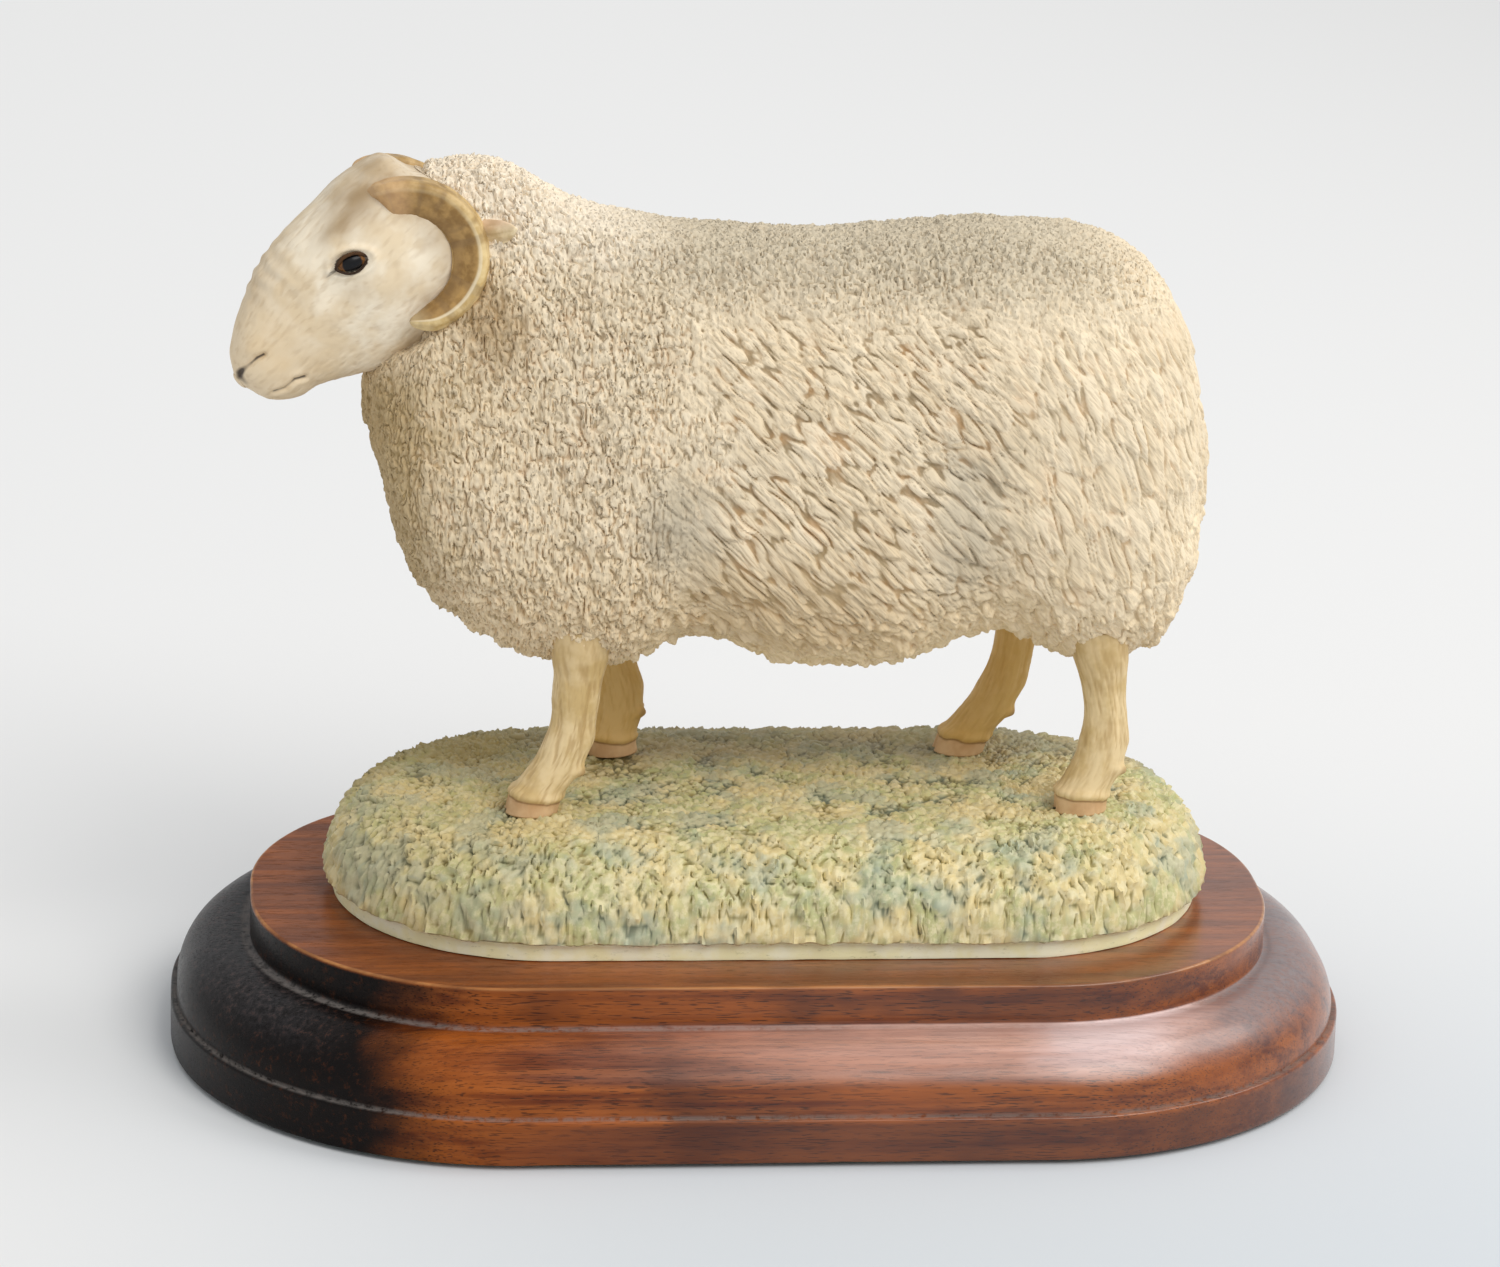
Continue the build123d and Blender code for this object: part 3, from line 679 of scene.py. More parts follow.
def leg_paint():
    """Cream paint with brown between the hairs, browner on the far legs as painted shade, painted shade at
    the tops under the fleece, a painted shadow line at the coronet and salmon-brown hooves."""
    paint = Finish("leg_paint", 0.62, Specular_IOR_Level=0.35)
    strokes = paint.field("hair")
    hoof = paint.field("hoof")
    blotch = paint.grain(5.0, 3.0, 0.6)
    horny = paint.mix(blotch.between(0.3, 0.7), (0.56, 0.33, 0.17), (0.72, 0.49, 0.28))
    cream = paint.mix(blotch.between(0.35, 0.65), (0.63, 0.45, 0.20), (0.79, 0.61, 0.34))
    paint.lay(
        cream,
        (strokes.below(0.15, 0.60) * 0.60, (0.44, 0.28, 0.11)),
        # painted shade: the tops of the legs darker where the fleece hangs over them
        (paint.field("up").between(0.60, 0.95) * 0.30, (0.46, 0.30, 0.12)),
        # painted shade: the far pair of legs browner
        (paint.field("far") * 0.62, (0.66, 0.39, 0.09)),
        (paint.field("claw").between(0.35, 0.9) * 0.55, (0.30, 0.17, 0.07)),
        (hoof * 0.85, horny),
        # painted shadow: a dark line at the coronet, under the hair's overhang
        (hoof * (1 - hoof) * 3.0, (0.26, 0.13, 0.05)),
    )
    paint.relief(strokes + paint.grain(0.4, 2.0, 0.5) * 0.4, 0.08, 0.5)
    return paint


leg_finish = leg_paint()
for number, (name, place) in enumerate(leg_places.items()):
    grid, fields = leg_grid(*place, 31 + number)
    dress(shell(name + "_cast", grid, fields), leg_finish, "leg", name)

# The fleece: the cast body of the sheep with its whole coat, modelled lock by lock before casting.
# It is painted cream, with an orange-brown wash in the grooves, and carries the head and the legs.
head_length = 45.4
head_pitch = np.radians(40.0)
head_yaw = np.radians(11.0)
neck_share = 0.885
fleece_front = -67.7
fleece_length = 140.2
fleece_width = 58.0
fleece_height = 85.6
fleece_bottom = ground + 22.6
fleece_fullness = 0.80
fleece_dome_share = 0.03
fleece_dome = 0.9
coat_rows = 741
coat_sides = 800
coat_cuts = (0, 106, 212, 318, 424, 530, 636, 740)
coat_sink = 0.95
cheek_sink = 3.0
fine_count = 2500
fleece_shares = np.array((
    (0.000, 0.460, 0.595, 0.18, 0.16),
    (0.015, 0.370, 0.625, 0.42, 0.34),
    (0.030, 0.275, 0.665, 0.56, 0.42),
    (0.045, 0.205, 0.790, 0.66, 0.40),
    (0.060, 0.158, 0.960, 0.73, 0.38),
    (0.082, 0.118, 0.988, 0.78, 0.38),
    (0.116, 0.078, 0.995, 0.82, 0.39),
    (0.165, 0.035, 0.980, 0.87, 0.42),
    (0.228, 0.006, 0.927, 0.91, 0.50),
    (0.298, 0.000, 0.888, 0.93, 0.62),
    (0.396, 0.055, 0.865, 0.94, 0.70),
    (0.515, 0.000, 0.857, 0.99, 0.72),
    (0.634, 0.008, 0.867, 1.00, 0.73),
    (0.746, 0.070, 0.880, 0.98, 0.74),
    (0.843, 0.015, 0.867, 0.96, 0.70),
    (0.913, 0.015, 0.812, 0.88, 0.62),
    (0.959, 0.060, 0.722, 0.72, 0.48),
    (0.984, 0.145, 0.600, 0.50, 0.34),
    (1.000, 0.255, 0.490, 0.22, 0.16),
))
neck_point = np.array([fleece_front + 9.5, sheep_y, ground + 97.2])
back_way = np.array([np.cos(head_yaw), np.sin(head_yaw), 0])
far_way = np.array([-np.sin(head_yaw), np.cos(head_yaw), 0])
up_way = np.array([0, 0, 1.0])
head_axis = back_way * np.cos(head_pitch) + up_way * np.sin(head_pitch)
head_up = np.cross(head_axis, far_way)
muzzle_point = neck_point - head_axis * (head_length * neck_share)


def signed_power(value, power):
    """A power that keeps its sign."""
    return np.sign(value) * np.abs(value) ** power


def section(low, high, lower, upper, turn, fullness):
    """Place across and height on a rounded section, for a turn in radians from its lowest point."""
    height_share = (1 - signed_power(np.cos(turn), fullness)) / 2
    mix = height_share**2 * (3 - 2 * height_share)
    across = (lower * (1 - mix) + upper * mix) * signed_power(np.sin(turn), fullness)
    return across, low + (high - low) * height_share


def domed(table, u, v, dome_share, fullness):
    """Sections along a body, closed by a low dome at each end. Returns the share of the length,
    how far each place stands out on a dome, its place across and its height."""
    front = np.clip(1 - u / dome_share, 0, 1)
    rear = np.clip(1 - (1 - u) / dome_share, 0, 1)
    share = np.clip((u - dome_share) / (1 - 2 * dome_share), 0, 1)
    low, high, lower, upper = table_curve(table, share)
    across, rise = section(low, high, lower, upper, 2 * np.pi * v, fullness)
    shrink = np.sqrt(np.maximum(1 - np.maximum(front, rear) ** 2, 0.0))
    middle = (low + high) / 2
    return share, rear - front, across * shrink, middle + (rise - middle) * shrink


def fleece_point(u, v):
    """The mean surface of the coat: its domed sections, stretched to the fleece's sizes."""
    share, bulge, across, rise = domed(fleece_shares, u, v, fleece_dome_share, fleece_fullness)
    x = fleece_front + fleece_length * share + fleece_dome * bulge
    y = sheep_y + fleece_width / 2 * across
    z = fleece_bottom + fleece_height * rise
    return np.stack(np.broadcast_arrays(x, y, z), -1)


def fleece_paint():
    """Matt cream paint over the crests, a brown wash low in the grooves, fine strands, dark pits
    in the uncombed wool, and parts of the coat a little paler, greyer or browner: painted light on
    the belly and the rump, painted shade on the chest and a painted shadow under the jaw."""
    paint = Finish("fleece_paint", 0.80, Specular_IOR_Level=0.30)
    wide = paint.grain(16.0, 2.0, 0.5)
    fine = paint.grain(1.3, 3.0, 0.6, 5.0)
    warm = paint.grain(5.0, 3.0, 0.6, 8.0)
    combed = paint.field("slope")
    groove = paint.field("depth").below(0.05, 0.50)
    upright = paint.grain((0.42, 0.42, 1.9), 2.0, 0.55, 2.0)
    sloping = paint.grain((0.38, 0.38, 3.6), 2.0, 0.55, 3.0, -42.0)
    strand = upright + (sloping - upright) * combed
    pits = paint.grain((0.50, 0.50, 1.3), 1.0, 0.5, 12.0).between(0.30, 0.42)
    pits = pits + (1 - pits) * combed
    across = paint.axis("X") + (warm - 0.5) * 0.012
    rise = paint.axis("Z") + (warm - 0.5) * 0.012
    grey = rise.between(0.126, 0.140) * across.band(-0.040, -0.010, 0.045, 0.066)
    # painted light: the belly painted paler
    painted_belly_light = rise.below(0.070, 0.094) * across.band(-0.022, -0.010, 0.030, 0.050)
    low = rise.below(0.074, 0.104)
    under = rise.band(0.070, 0.076, 0.082, 0.098) * across.band(-0.022, -0.012, 0.012, 0.026)
    withers = rise.between(0.132, 0.144) * across.below(-0.032, -0.012)
    # painted light: the rump painted paler
    painted_rump_light = across.between(0.030, 0.058)
    # painted shade: the chest painted dark brown
    chest = across.below(-0.064, -0.050) * rise.below(0.112, 0.126)
    neck = across.below(-0.052, -0.036) * rise.band(0.090, 0.110, 0.132, 0.142)
    elbow = across.band(-0.026, -0.019, -0.018, -0.004) * rise.band(0.082, 0.096, 0.098, 0.110)
    hollow = across.band(0.022, 0.028, 0.030, 0.042) * rise.band(0.078, 0.092, 0.106, 0.116)
    wash = paint.mix(warm.between(0.40, 0.65), (0.28, 0.195, 0.095), (0.43, 0.25, 0.105))
    crest = paint.mix(wide.between(0.35, 0.65), (0.74, 0.60, 0.405), (0.84, 0.695, 0.485))
    paint.lay(
        crest,
        (paint.field("tone") * 0.45, (0.95, 0.83, 0.64)),
        (warm.between(0.55, 0.72) * 0.30, (0.88, 0.66, 0.43)),
        (groove * (0.44 + fine * 0.70), wash),
        (strand.below(0.36, 0.50) * 0.34, wash),
        ((1 - combed) * 0.22, (0.99, 0.86, 0.66)),
        ((1 - pits) * 0.56, (0.30, 0.20, 0.085)),
        (grey * 0.55, (0.44, 0.40, 0.31)),
        (painted_belly_light * 0.40, (0.98, 0.82, 0.58)),
        (low * 0.24, (0.90, 0.64, 0.30)),
        (under * 0.30, (0.40, 0.26, 0.11)),
        (withers * 0.40, (0.98, 0.90, 0.78)),
        (painted_rump_light * 0.22, (0.98, 0.84, 0.62)),
        (chest * 0.70, (0.37, 0.25, 0.090)),
        (neck * 0.20, (0.52, 0.35, 0.14)),
        (paint.field("painted_jaw_shadow") * 0.55, (0.38, 0.24, 0.095)),
        ((elbow + hollow * 0.8) * 0.50, (0.34, 0.31, 0.24)),
    )
    paint.relief(strand + pits * 0.8, 0.32, 0.8)
    return paint


def height_share_of(place):
    """How high a place lies on the coat, from 0 at the belly to 1 at the neck."""
    return (place[..., 2] - fleece_bottom) / fleece_height


def length_share_of(place):
    """How far back a place lies on the coat, from 0 at the chest to 1 at the tail."""
    return (place[..., 0] - fleece_front) / fleece_length


def shoulder_edge(place):
    """Where the shoulder's wool ends: furthest back at the middle of the side."""
    rise = height_share_of(place)
    return 0.375 - 0.11 * smooth(rise, 0.60, 0.90) - 0.045 * (1 - smooth(rise, 0.15, 0.45))


def face_hollow(along, up):
    """1 where the coat would come through the cheek within the curl of the horn, otherwise 0,
    for places along the head from the muzzle and up from its middle."""
    return (1 - smooth(along, 38.5, 41.5)) * smooth(up, -12.0, -9.5)


def even(values, places, axis, count):
    """Parameters spread so that neighbouring points lie equally far apart on the surface."""
    speed = np.linalg.norm(np.gradient(places, values, axis=axis), axis=-1).mean(1 - axis)
    length = np.concatenate([[0], np.cumsum((speed[1:] + speed[:-1]) / 2 * np.diff(values))])
    return np.interp(np.linspace(0, length[-1], count), length, values)


def lie(place, slope, warp, warp_size, seed):
    """Places turned so that the last axis runs down and back at a slope in degrees, after they
    are warped a little: forward, across and along the wool."""
    tilt = np.radians(slope)
    moved = place + warp * sway(place, warp_size, 3, seed)
    ahead = moved[..., 0] * np.cos(tilt) + moved[..., 2] * np.sin(tilt)
    down = moved[..., 0] * np.sin(tilt) - moved[..., 2] * np.cos(tilt)
    return np.stack([ahead, moved[..., 1], down], -1)


def ridges(places, sizes, groove, seed):
    """Wandering ridges from 0 to 1, split by grooves where smooth noise passes through zero."""
    return smooth(np.abs(lumps(places / np.array(sizes), 1.0, seed)), 0.0, groove)


def locks(place, slope, warp, strand_size, seed):
    """Lapped locks that lie at a slope, each split into strands. Returns how far each place is
    from its lock's edge, how near the tip, the lock's own number and the ridges of the strands."""
    leaning = lie(place, slope, warp, 4.0, seed)
    edge, tip, number = cells(leaning, (2.7, 2.7, 9.0), seed + 1)
    strands = ridges(leaning, (strand_size, strand_size, 6.5), 0.34, seed + 4)
    return smooth(edge, 0.0, 0.24), tip, number, strands


def carved(place):
    """Height of the wool: crimped upright ridges with a few long grooves on the neck, chest and
    shoulder, nubs on the back, and lapped locks of finer strands that slope back on the flank
    and hang steeper on the haunch. Returns height in mm, depth share, tint and slope share."""
    along, rise = length_share_of(place), height_share_of(place)
    upright = lie(place, 3, 0.60, 1.6, 80)
    crimp, _, crimp_tint = cells(upright, (0.85, 0.85, 2.1), 81)
    crimp = smooth(crimp, 0.0, 0.36)
    thin = ridges(upright, (0.62, 0.62, 2.4), 0.38, 82)
    tuft = ridges(upright, (2.1, 2.1, 6.0), 0.40, 84)
    neck = 0.60 * thin + 0.26 * crimp * (0.6 + 0.8 * crimp_tint) + 0.18 * tuft
    neck = neck + 0.20 * lumps(place, 1.3, 85)
    neck_depth = 0.70 * thin + 0.36 * crimp + 0.20 * (tuft - 0.8) + 0.04
    lock, tip, lock_tint, strand = locks(place, 45, 0.55, 0.72, 88)
    flank = lock * (0.44 + 0.62 * tip) + 0.40 * strand
    flank_depth = 0.40 + 0.45 * (lock - 0.5) + 0.55 * (strand - 0.5) + 0.32 * tip
    hung, hung_tip, hung_tint, hair = locks(place, 20, 0.60, 0.75, 96)
    haunch = hung * (0.34 + 0.60 * hung_tip) + 0.36 * hair
    haunch_depth = 0.50 + 0.40 * (hung - 0.5) + 0.42 * (hair - 0.5) + 0.40 * hung_tip
    nub, _, nub_tint = cells(lie(place, 0, 0.6, 1.6, 104), (1.15, 1.15, 1.5), 105)
    nub = smooth(nub, 0.0, 0.40)
    back = 0.42 * nub * (0.6 + 0.8 * nub_tint) + 0.26 * neck
    back_depth = 0.55 + 0.55 * (nub - 0.5) + 0.3 * (thin - 0.5)
    wander = 0.045 * lumps(place, 10, 44) + 0.02 * lumps(place, 3, 46)
    behind = smooth(along - shoulder_edge(place) - wander, -0.05, 0.06)
    low = 1 - smooth(rise + wander, 0.66, 0.84)
    rear = smooth(along + wander, 0.68, 0.82)
    top = smooth(rise + wander, 0.80, 0.93) * smooth(along, 0.16, 0.30)
    chest = 1 - smooth(along, 0.04, 0.12)
    combed = behind * low

    def blend(neck_value, back_value, flank_value, haunch_value):
        """One of four values by where the place lies on the coat, with soft edges."""
        plain = neck_value * (1 - top) + back_value * top
        return plain * (1 - combed) + (flank_value * (1 - rear) + haunch_value * rear) * combed

    height = blend(neck * (1 - 0.30 * chest), back, flank, haunch)
    depth = blend(neck_depth, back_depth, flank_depth, haunch_depth)
    return height, np.clip(depth, 0, 1), blend(crimp_tint, nub_tint, lock_tint, hung_tint), combed


fine_u = np.linspace(0.0005, 0.9995, fine_count)[:, None]
fine_v = np.linspace(0, 1, fine_count)
some_u = np.linspace(0.2, 0.9, 9)[:, None]
some_v = (np.arange(16) + 0.5) / 16
coat_u = even(fine_u[:, 0], fleece_point(fine_u, some_v), 0, coat_rows)
coat_v = even(fine_v, fleece_point(some_u, fine_v), 1, coat_sides + 1)[:-1]
coat = fleece_point(coat_u[:, None], coat_v)
coat_normal = grid_normals(coat)
height, depth, tint, combed = carved(coat)
from_muzzle = coat - muzzle_point
under_cheek = cheek_sink * face_hollow(from_muzzle @ head_axis, from_muzzle @ head_up)
downward = band(-coat_normal[..., 2], 0.10, 0.55, 0.86, 0.97)
scallop, point, _ = cells(lie(coat, 24, 0.5, 3.0, 110), (2.7, 4.2, 7.0), 111)
height = height + downward * (smooth(scallop, 0.0, 0.6) * (0.75 + 1.3 * point) - 0.34)
height = height + 0.45 * lumps(coat, 8, 43) - coat_sink - under_cheek
coat = coat + coat_normal * height[..., None]
from_muzzle = coat - muzzle_point
# painted shadow in the wool under the jaw and the horn tip
painted_jaw_shadow = band(from_muzzle @ head_axis, 29, 35, 38, 45) * band(from_muzzle @ head_up, -26, -17, -12, -6)
coat_fields = {"depth": depth, "tone": tint, "slope": combed, "painted_jaw_shadow": painted_jaw_shadow}
drums("fleece_coat", coat, coat_normal, coat_fields, coat_cuts, fleece_paint(), "fleece", "fleece_body")

# The head: a resin casting of the face and poll, with fine hair, glued into the neck by a spigot.
# It is painted cream-ivory with a grey-brown wash, and the eyes are painted swellings of it.
head_depth = 31.0
head_width = 22.6
head_fullness = 0.86
head_shares = np.array((
    (0.000, -0.05, 0.04, 0.14, 0.14),
    (0.030, -0.17, 0.13, 0.36, 0.34),
    (0.065, -0.23, 0.18, 0.45, 0.43),
    (0.125, -0.28, 0.25, 0.52, 0.50),
    (0.200, -0.30, 0.31, 0.54, 0.56),
    (0.310, -0.38, 0.39, 0.60, 0.68),
    (0.440, -0.47, 0.435, 0.72, 0.86),
    (0.600, -0.54, 0.455, 0.88, 1.00),
    (0.740, -0.53, 0.47, 0.96, 1.00),
    (0.890, -0.48, 0.42, 0.96, 0.88),
    (1.000, -0.34, 0.26, 0.76, 0.62),
))
head_dome_share = 0.04
head_dome = 0.5
head_rows = 270
head_sides = 270
head_tip_share = 0.0008
eye_middle = np.array([26.1, 5.85])
eye_tilt = np.radians(-21)
eye_half_length = 2.6
eye_half_height = 1.5
nostril_line = np.array((
    (5.6, 2.3, 5.4), (4.4, 2.5, 5.0), (3.2, 2.3, 4.4), (1.4, 1.9, 3.0), (0.3, 1.2, 1.4),
))
mouth_line = np.array((
    (1.4, -4.0, 0.0), (2.0, -3.8, 3.2), (3.0, -3.9, 4.5),
    (4.7, -4.5, 4.9), (6.8, -4.4, 5.4), (8.3, -5.3, 5.2),
))
tear_line = np.array(((23.6, 6.4, 9.6), (22.6, 6.5, 9.2), (21.3, 6.3, 8.7)))
face_swells = (
    (0.9, (26.5, 10.2, 8.5), (4.5, 1.5, 4.0)),
    (-0.9, (21.5, 3.0, 9.5), (3.5, 3.0, 5.0)),
    (0.7, (27.0, -0.5, 10.5), (6.0, 2.6, 5.0)),
    (-0.5, (14.0, 5.5, 6.5), (5.0, 3.0, 4.0)),
    (0.5, (4.4, 4.2, 5.0), (2.2, 1.3, 3.0)),
    (0.45, (4.2, -0.6, 5.0), (3.0, 2.0, 3.0)),
    (-1.7, (45.6, 10.0, 0.0), (2.6, 5.0, 9.0)),
    (0.45, (41.0, 13.0, 2.0), (2.4, 2.5, 4.0)),
)
face_washes = (
    (1.15, (33.5, 11.5, 5.0), (5.5, 3.8, 7.0)),
    (0.80, (27.5, 11.0, 7.5), (3.2, 1.4, 4.0)),
    (0.38, (23.5, 1.6, 9.8), (4.0, 1.6, 5.0)),
    (0.40, (12.0, 12.0, 2.0), (9.0, 4.0, 5.0)),
    (0.35, (30.0, -13.0, 5.0), (12.0, 3.0, 7.0)),
)


def beside(points, line):
    """Distance from each point to the nearest place on a line of straight stretches."""
    nearest = np.full(points.shape[:-1], 1e9)
    for start, end in zip(line, line[1:]):
        run = end - start
        share = np.clip(((points - start) @ run) / (run @ run), 0, 1)
        nearest = np.minimum(nearest, np.linalg.norm(points - start - share[..., None] * run, axis=-1))
    return nearest


def head_local(u, v):
    """Places on the head in its own axes: from the muzzle back, up, and to the far side."""
    share, bulge, across, rise = domed(head_shares, u, v, head_dome_share, head_fullness)
    back = head_length * share + head_dome * bulge
    return np.stack(np.broadcast_arrays(back, head_depth * rise, head_width / 2 * across), -1)


def from_head(local):
    """Turn places in the head's own axes into places in the CAD frame."""
    return muzzle_point + local[..., :1] * head_axis + local[..., 1:2] * head_up + local[..., 2:] * far_way


def spot(places, centre, size):
    """A soft round spot of 1 at its centre."""
    return np.exp(-np.sum(((places - centre) / size) ** 2, -1))


head_u = np.linspace(head_tip_share, 1 - head_tip_share, head_rows)[:, None]
head_places = head_local(head_u, np.arange(head_sides) / head_sides)
head_mirror = head_places.copy()
head_mirror[..., 2] = np.abs(head_mirror[..., 2])
back, up, out = np.moveaxis(head_mirror, -1, 0)
eye_along = (back - eye_middle[0]) * np.cos(eye_tilt) + (up - eye_middle[1]) * np.sin(eye_tilt)
eye_up = -(back - eye_middle[0]) * np.sin(eye_tilt) + (up - eye_middle[1]) * np.cos(eye_tilt)
eye_ring = np.sqrt((eye_along / eye_half_length) ** 2 + (eye_up / eye_half_height) ** 2)
beside_face = smooth(out, 5.0, 7.5)
nostril = beside(head_mirror, nostril_line)
mouth = beside(head_mirror, mouth_line)
tear = beside(head_mirror, tear_line)
face_form = (0.55 * bell(eye_ring, 1.45, 0.30) - 0.7 * bell(eye_ring, 0, 0.95)) * beside_face
for swell, centre, size in face_swells:
    face_form += swell * spot(head_mirror, centre, size)
face_form -= 0.75 * bell(nostril, 0, 0.48) + 0.45 * bell(mouth, 0, 0.40) + 0.35 * bell(tear, 0, 0.35)
face_form += 0.14 * bell(mouth, 1.0, 0.6)
wrinkle = np.sin(back * 2.4 + 1.2 * lumps(head_places, 3.0, 51)) * spot(head_mirror, (15, 11, 2), (6, 3, 5))
face_form += 0.16 * wrinkle + 0.175 * lumps(head_places, 6.0, 52)
strokes_at = np.stack([back / 4.5 + 0.20 * up, up - 0.20 * back, out], -1)
head_hair = lumps(strokes_at, 0.55, 53) + 0.6 * lumps(strokes_at, 0.3, 54)
face_form += 0.055 * head_hair * smooth(back, 3, 9)
head_solid = heaved(from_head(head_places), face_form)
# painted shade: the back of the head darker where it meets the horns and the neck, with the wash spots
face_wash_and_shade = 0.62 * smooth(back, 34.5, 40)
for share, centre, size in face_washes:
    face_wash_and_shade += share * spot(head_mirror, centre, size)
face_wash_and_shade *= 0.9 + 0.30 * lumps(head_places, 2.2, 55)
nose_line_width = 0.28 + 0.42 * (1 - smooth(back, 1.0, 3.6))
dark_line = bell(nostril, 0, nose_line_width) + 0.9 * bell(mouth, 0, 0.30) + 0.9 * bell(tear, 0, 0.27)
dark_line += 0.8 * spot(head_mirror, (0.9, 0.2, 2.2), (0.8, 1.4, 1.2))
dark_line += 1.3 * (1 - smooth(eye_ring, 0.98, 1.10)) * beside_face
head_fields = {"wash": face_wash_and_shade, "line": dark_line, "hair": 0.5 + 0.35 * head_hair}
head_fields["back"] = back / head_length


def face_paint():
    """Cream-ivory paint, grey-brown wash where it was left, painted shade at the back of the head by the
    horns, and dark lines at nose and mouth.
    """
    paint = Finish("face_paint", 0.60, Specular_IOR_Level=0.35)
    tone = paint.grain(6.0, 3.0, 0.55)
    strokes = paint.field("hair")
    cream = paint.mix(tone.between(0.35, 0.65), (0.82, 0.67, 0.46), (0.95, 0.84, 0.66))
    paint.lay(
        cream,
        (paint.field("back").below(0.15, 0.50) * 0.62, (0.70, 0.53, 0.32)),
        (strokes.below(0.15, 0.55) * 0.34, (0.52, 0.37, 0.21)),
        # the grey-brown wash, with painted shade at the back of the head
        (paint.field("wash") * 0.80, (0.34, 0.225, 0.110)),
        (paint.field("line").between(0.20, 0.95) * 0.94, (0.055, 0.038, 0.028)),
    )
    paint.relief(strokes, 0.07, 0.5)
    return paint


dress(shell("head_cast", head_solid, head_fields), face_paint(), "face", "head")

# The eyes: low swellings of the head casting, painted near-black with a brown edge and dark lids.
# A coat of varnish on the paint gives each its highlight.
eye_out = 9.75
eye_swell = 1.15
eye_iris = 1.75
eye_rows = 30
eye_sides = 48
lid_thickness = 0.26
lid_steps = 72
lid_sides = 10


def eye_place(along, up, out, side):
    """A place in the eye's own axes, turned into the CAD frame."""
    turned_back = eye_middle[0] + along * np.cos(eye_tilt) - up * np.sin(eye_tilt)
    turned_up = eye_middle[1] + along * np.sin(eye_tilt) + up * np.cos(eye_tilt)
    return from_head(np.stack([turned_back, turned_up, side * out], -1))


def eye_paint():
    """Near-black pupil, a brown edge seen in the corners, under a gloss coat."""
    paint = Finish("eye_paint", 0.35, Coat_Weight=0.18, Coat_Roughness=0.08, Specular_IOR_Level=0.15)
    ring = paint.field("ring")
    streak = paint.grain(0.5, 2.0, 0.5)
    brown = paint.mix(streak.between(0.35, 0.65), (0.110, 0.042, 0.012), (0.26, 0.115, 0.034))
    paint.feed("Base Color", paint.mix(ring.between(0.86, 1.05), (0.005, 0.005, 0.006), brown))
    paint.relief(streak, 0.01, 0.3)
    return paint


def lid_paint():
    """Dark brown rims, orange-brown along the upper lid."""
    paint = Finish("lid_paint", 0.70, Specular_IOR_Level=0.15)
    upper = paint.field("upper")
    tone = paint.grain(0.8, 2.0, 0.5)
    brown = paint.mix(upper.between(0.4, 0.9), (0.040, 0.022, 0.013), (0.085, 0.040, 0.016))
    paint.lay(brown, (tone.between(0.5, 0.7) * 0.5, (0.020, 0.012, 0.008)))
    paint.relief(tone, 0.02, 0.4)
    return paint


def eyeball_rings(side):
    """A low dome on the head, and how far each place is from the middle of the pupil."""
    ball_share, turn = np.meshgrid(np.linspace(0.02, 0.98, eye_rows), whole_turn(eye_sides), indexing="ij")
    radius = np.sin(np.pi * ball_share)
    rise = -np.cos(np.pi * ball_share)
    along = eye_half_length * 0.94 * radius * np.cos(-side * turn)
    up = eye_half_height * 0.94 * radius * np.sin(-side * turn)
    ring = np.where(rise > 0, np.sqrt(along**2 + up**2) / eye_iris, 1.0)
    return eye_place(along, up, eye_out + eye_swell * rise, side), {"ring": ring}


def eyelid_rings(side):
    """A thin round rim, carried once round the eye and pinched at its two corners."""
    round_turn = np.append(whole_turn(lid_steps), 0)[:, None]
    ring_turn = whole_turn(lid_sides)
    along = eye_half_length * 1.08 * np.cos(round_turn)
    pinch = 1 - 0.65 * np.abs(np.cos(round_turn)) ** 3
    up = eye_half_height * 1.06 * np.sin(round_turn) * pinch
    out = eye_out + 0.45 + 0.35 * np.sin(round_turn) ** 2
    thick = lid_thickness * (0.75 + 0.45 * np.maximum(np.sin(round_turn), 0))
    along = along + np.cos(round_turn) * np.cos(ring_turn) * thick
    up = up + np.sin(round_turn) * np.cos(ring_turn) * thick
    lid = eye_place(along, up, out + np.sin(ring_turn) * thick, side)
    upper = np.sin(round_turn) * np.ones(lid_sides)
    return lid if side > 0 else lid[:, ::-1], {"upper": upper}


eye_finish = eye_paint()
lid_finish = lid_paint()
for side, side_name in ((-1, "near"), (1, "far")):
    dress(shell(f"{side_name}_eye", *eyeball_rings(side)), eye_finish, "face")
    dress(shell(f"{side_name}_eyelid", *eyelid_rings(side)), lid_finish, "face")

# The horns: two tapering four-sided resin castings that curl back, out, down and forward.
# They are painted ochre with a pale outer edge, and glued into the poll.
horn_curl_radius = 9.8
horn_root_size = 6.8
horn_tip_size = 1.0
horn_root_reach = 7.5
horn_spread = 5.1
horn_sunk_share = 0.09
horn_sunk = 4.0
horn_angles = np.radians([110.0, -94.0])
horn_twist = np.radians([24.0, -24.0])
horn_rows = 200
horn_sides = 72
horn_centre = neck_point - back_way * 4.8 - up_way * 4.2
horn_section_shares = np.array((
    (-0.50, 0.02),
    (-0.20, 0.34),
    (0.24, 0.50),
    (0.42, 0.20),
    (0.50, -0.12),
    (0.24, -0.36),
    (-0.10, -0.40),
    (-0.42, -0.24),
))


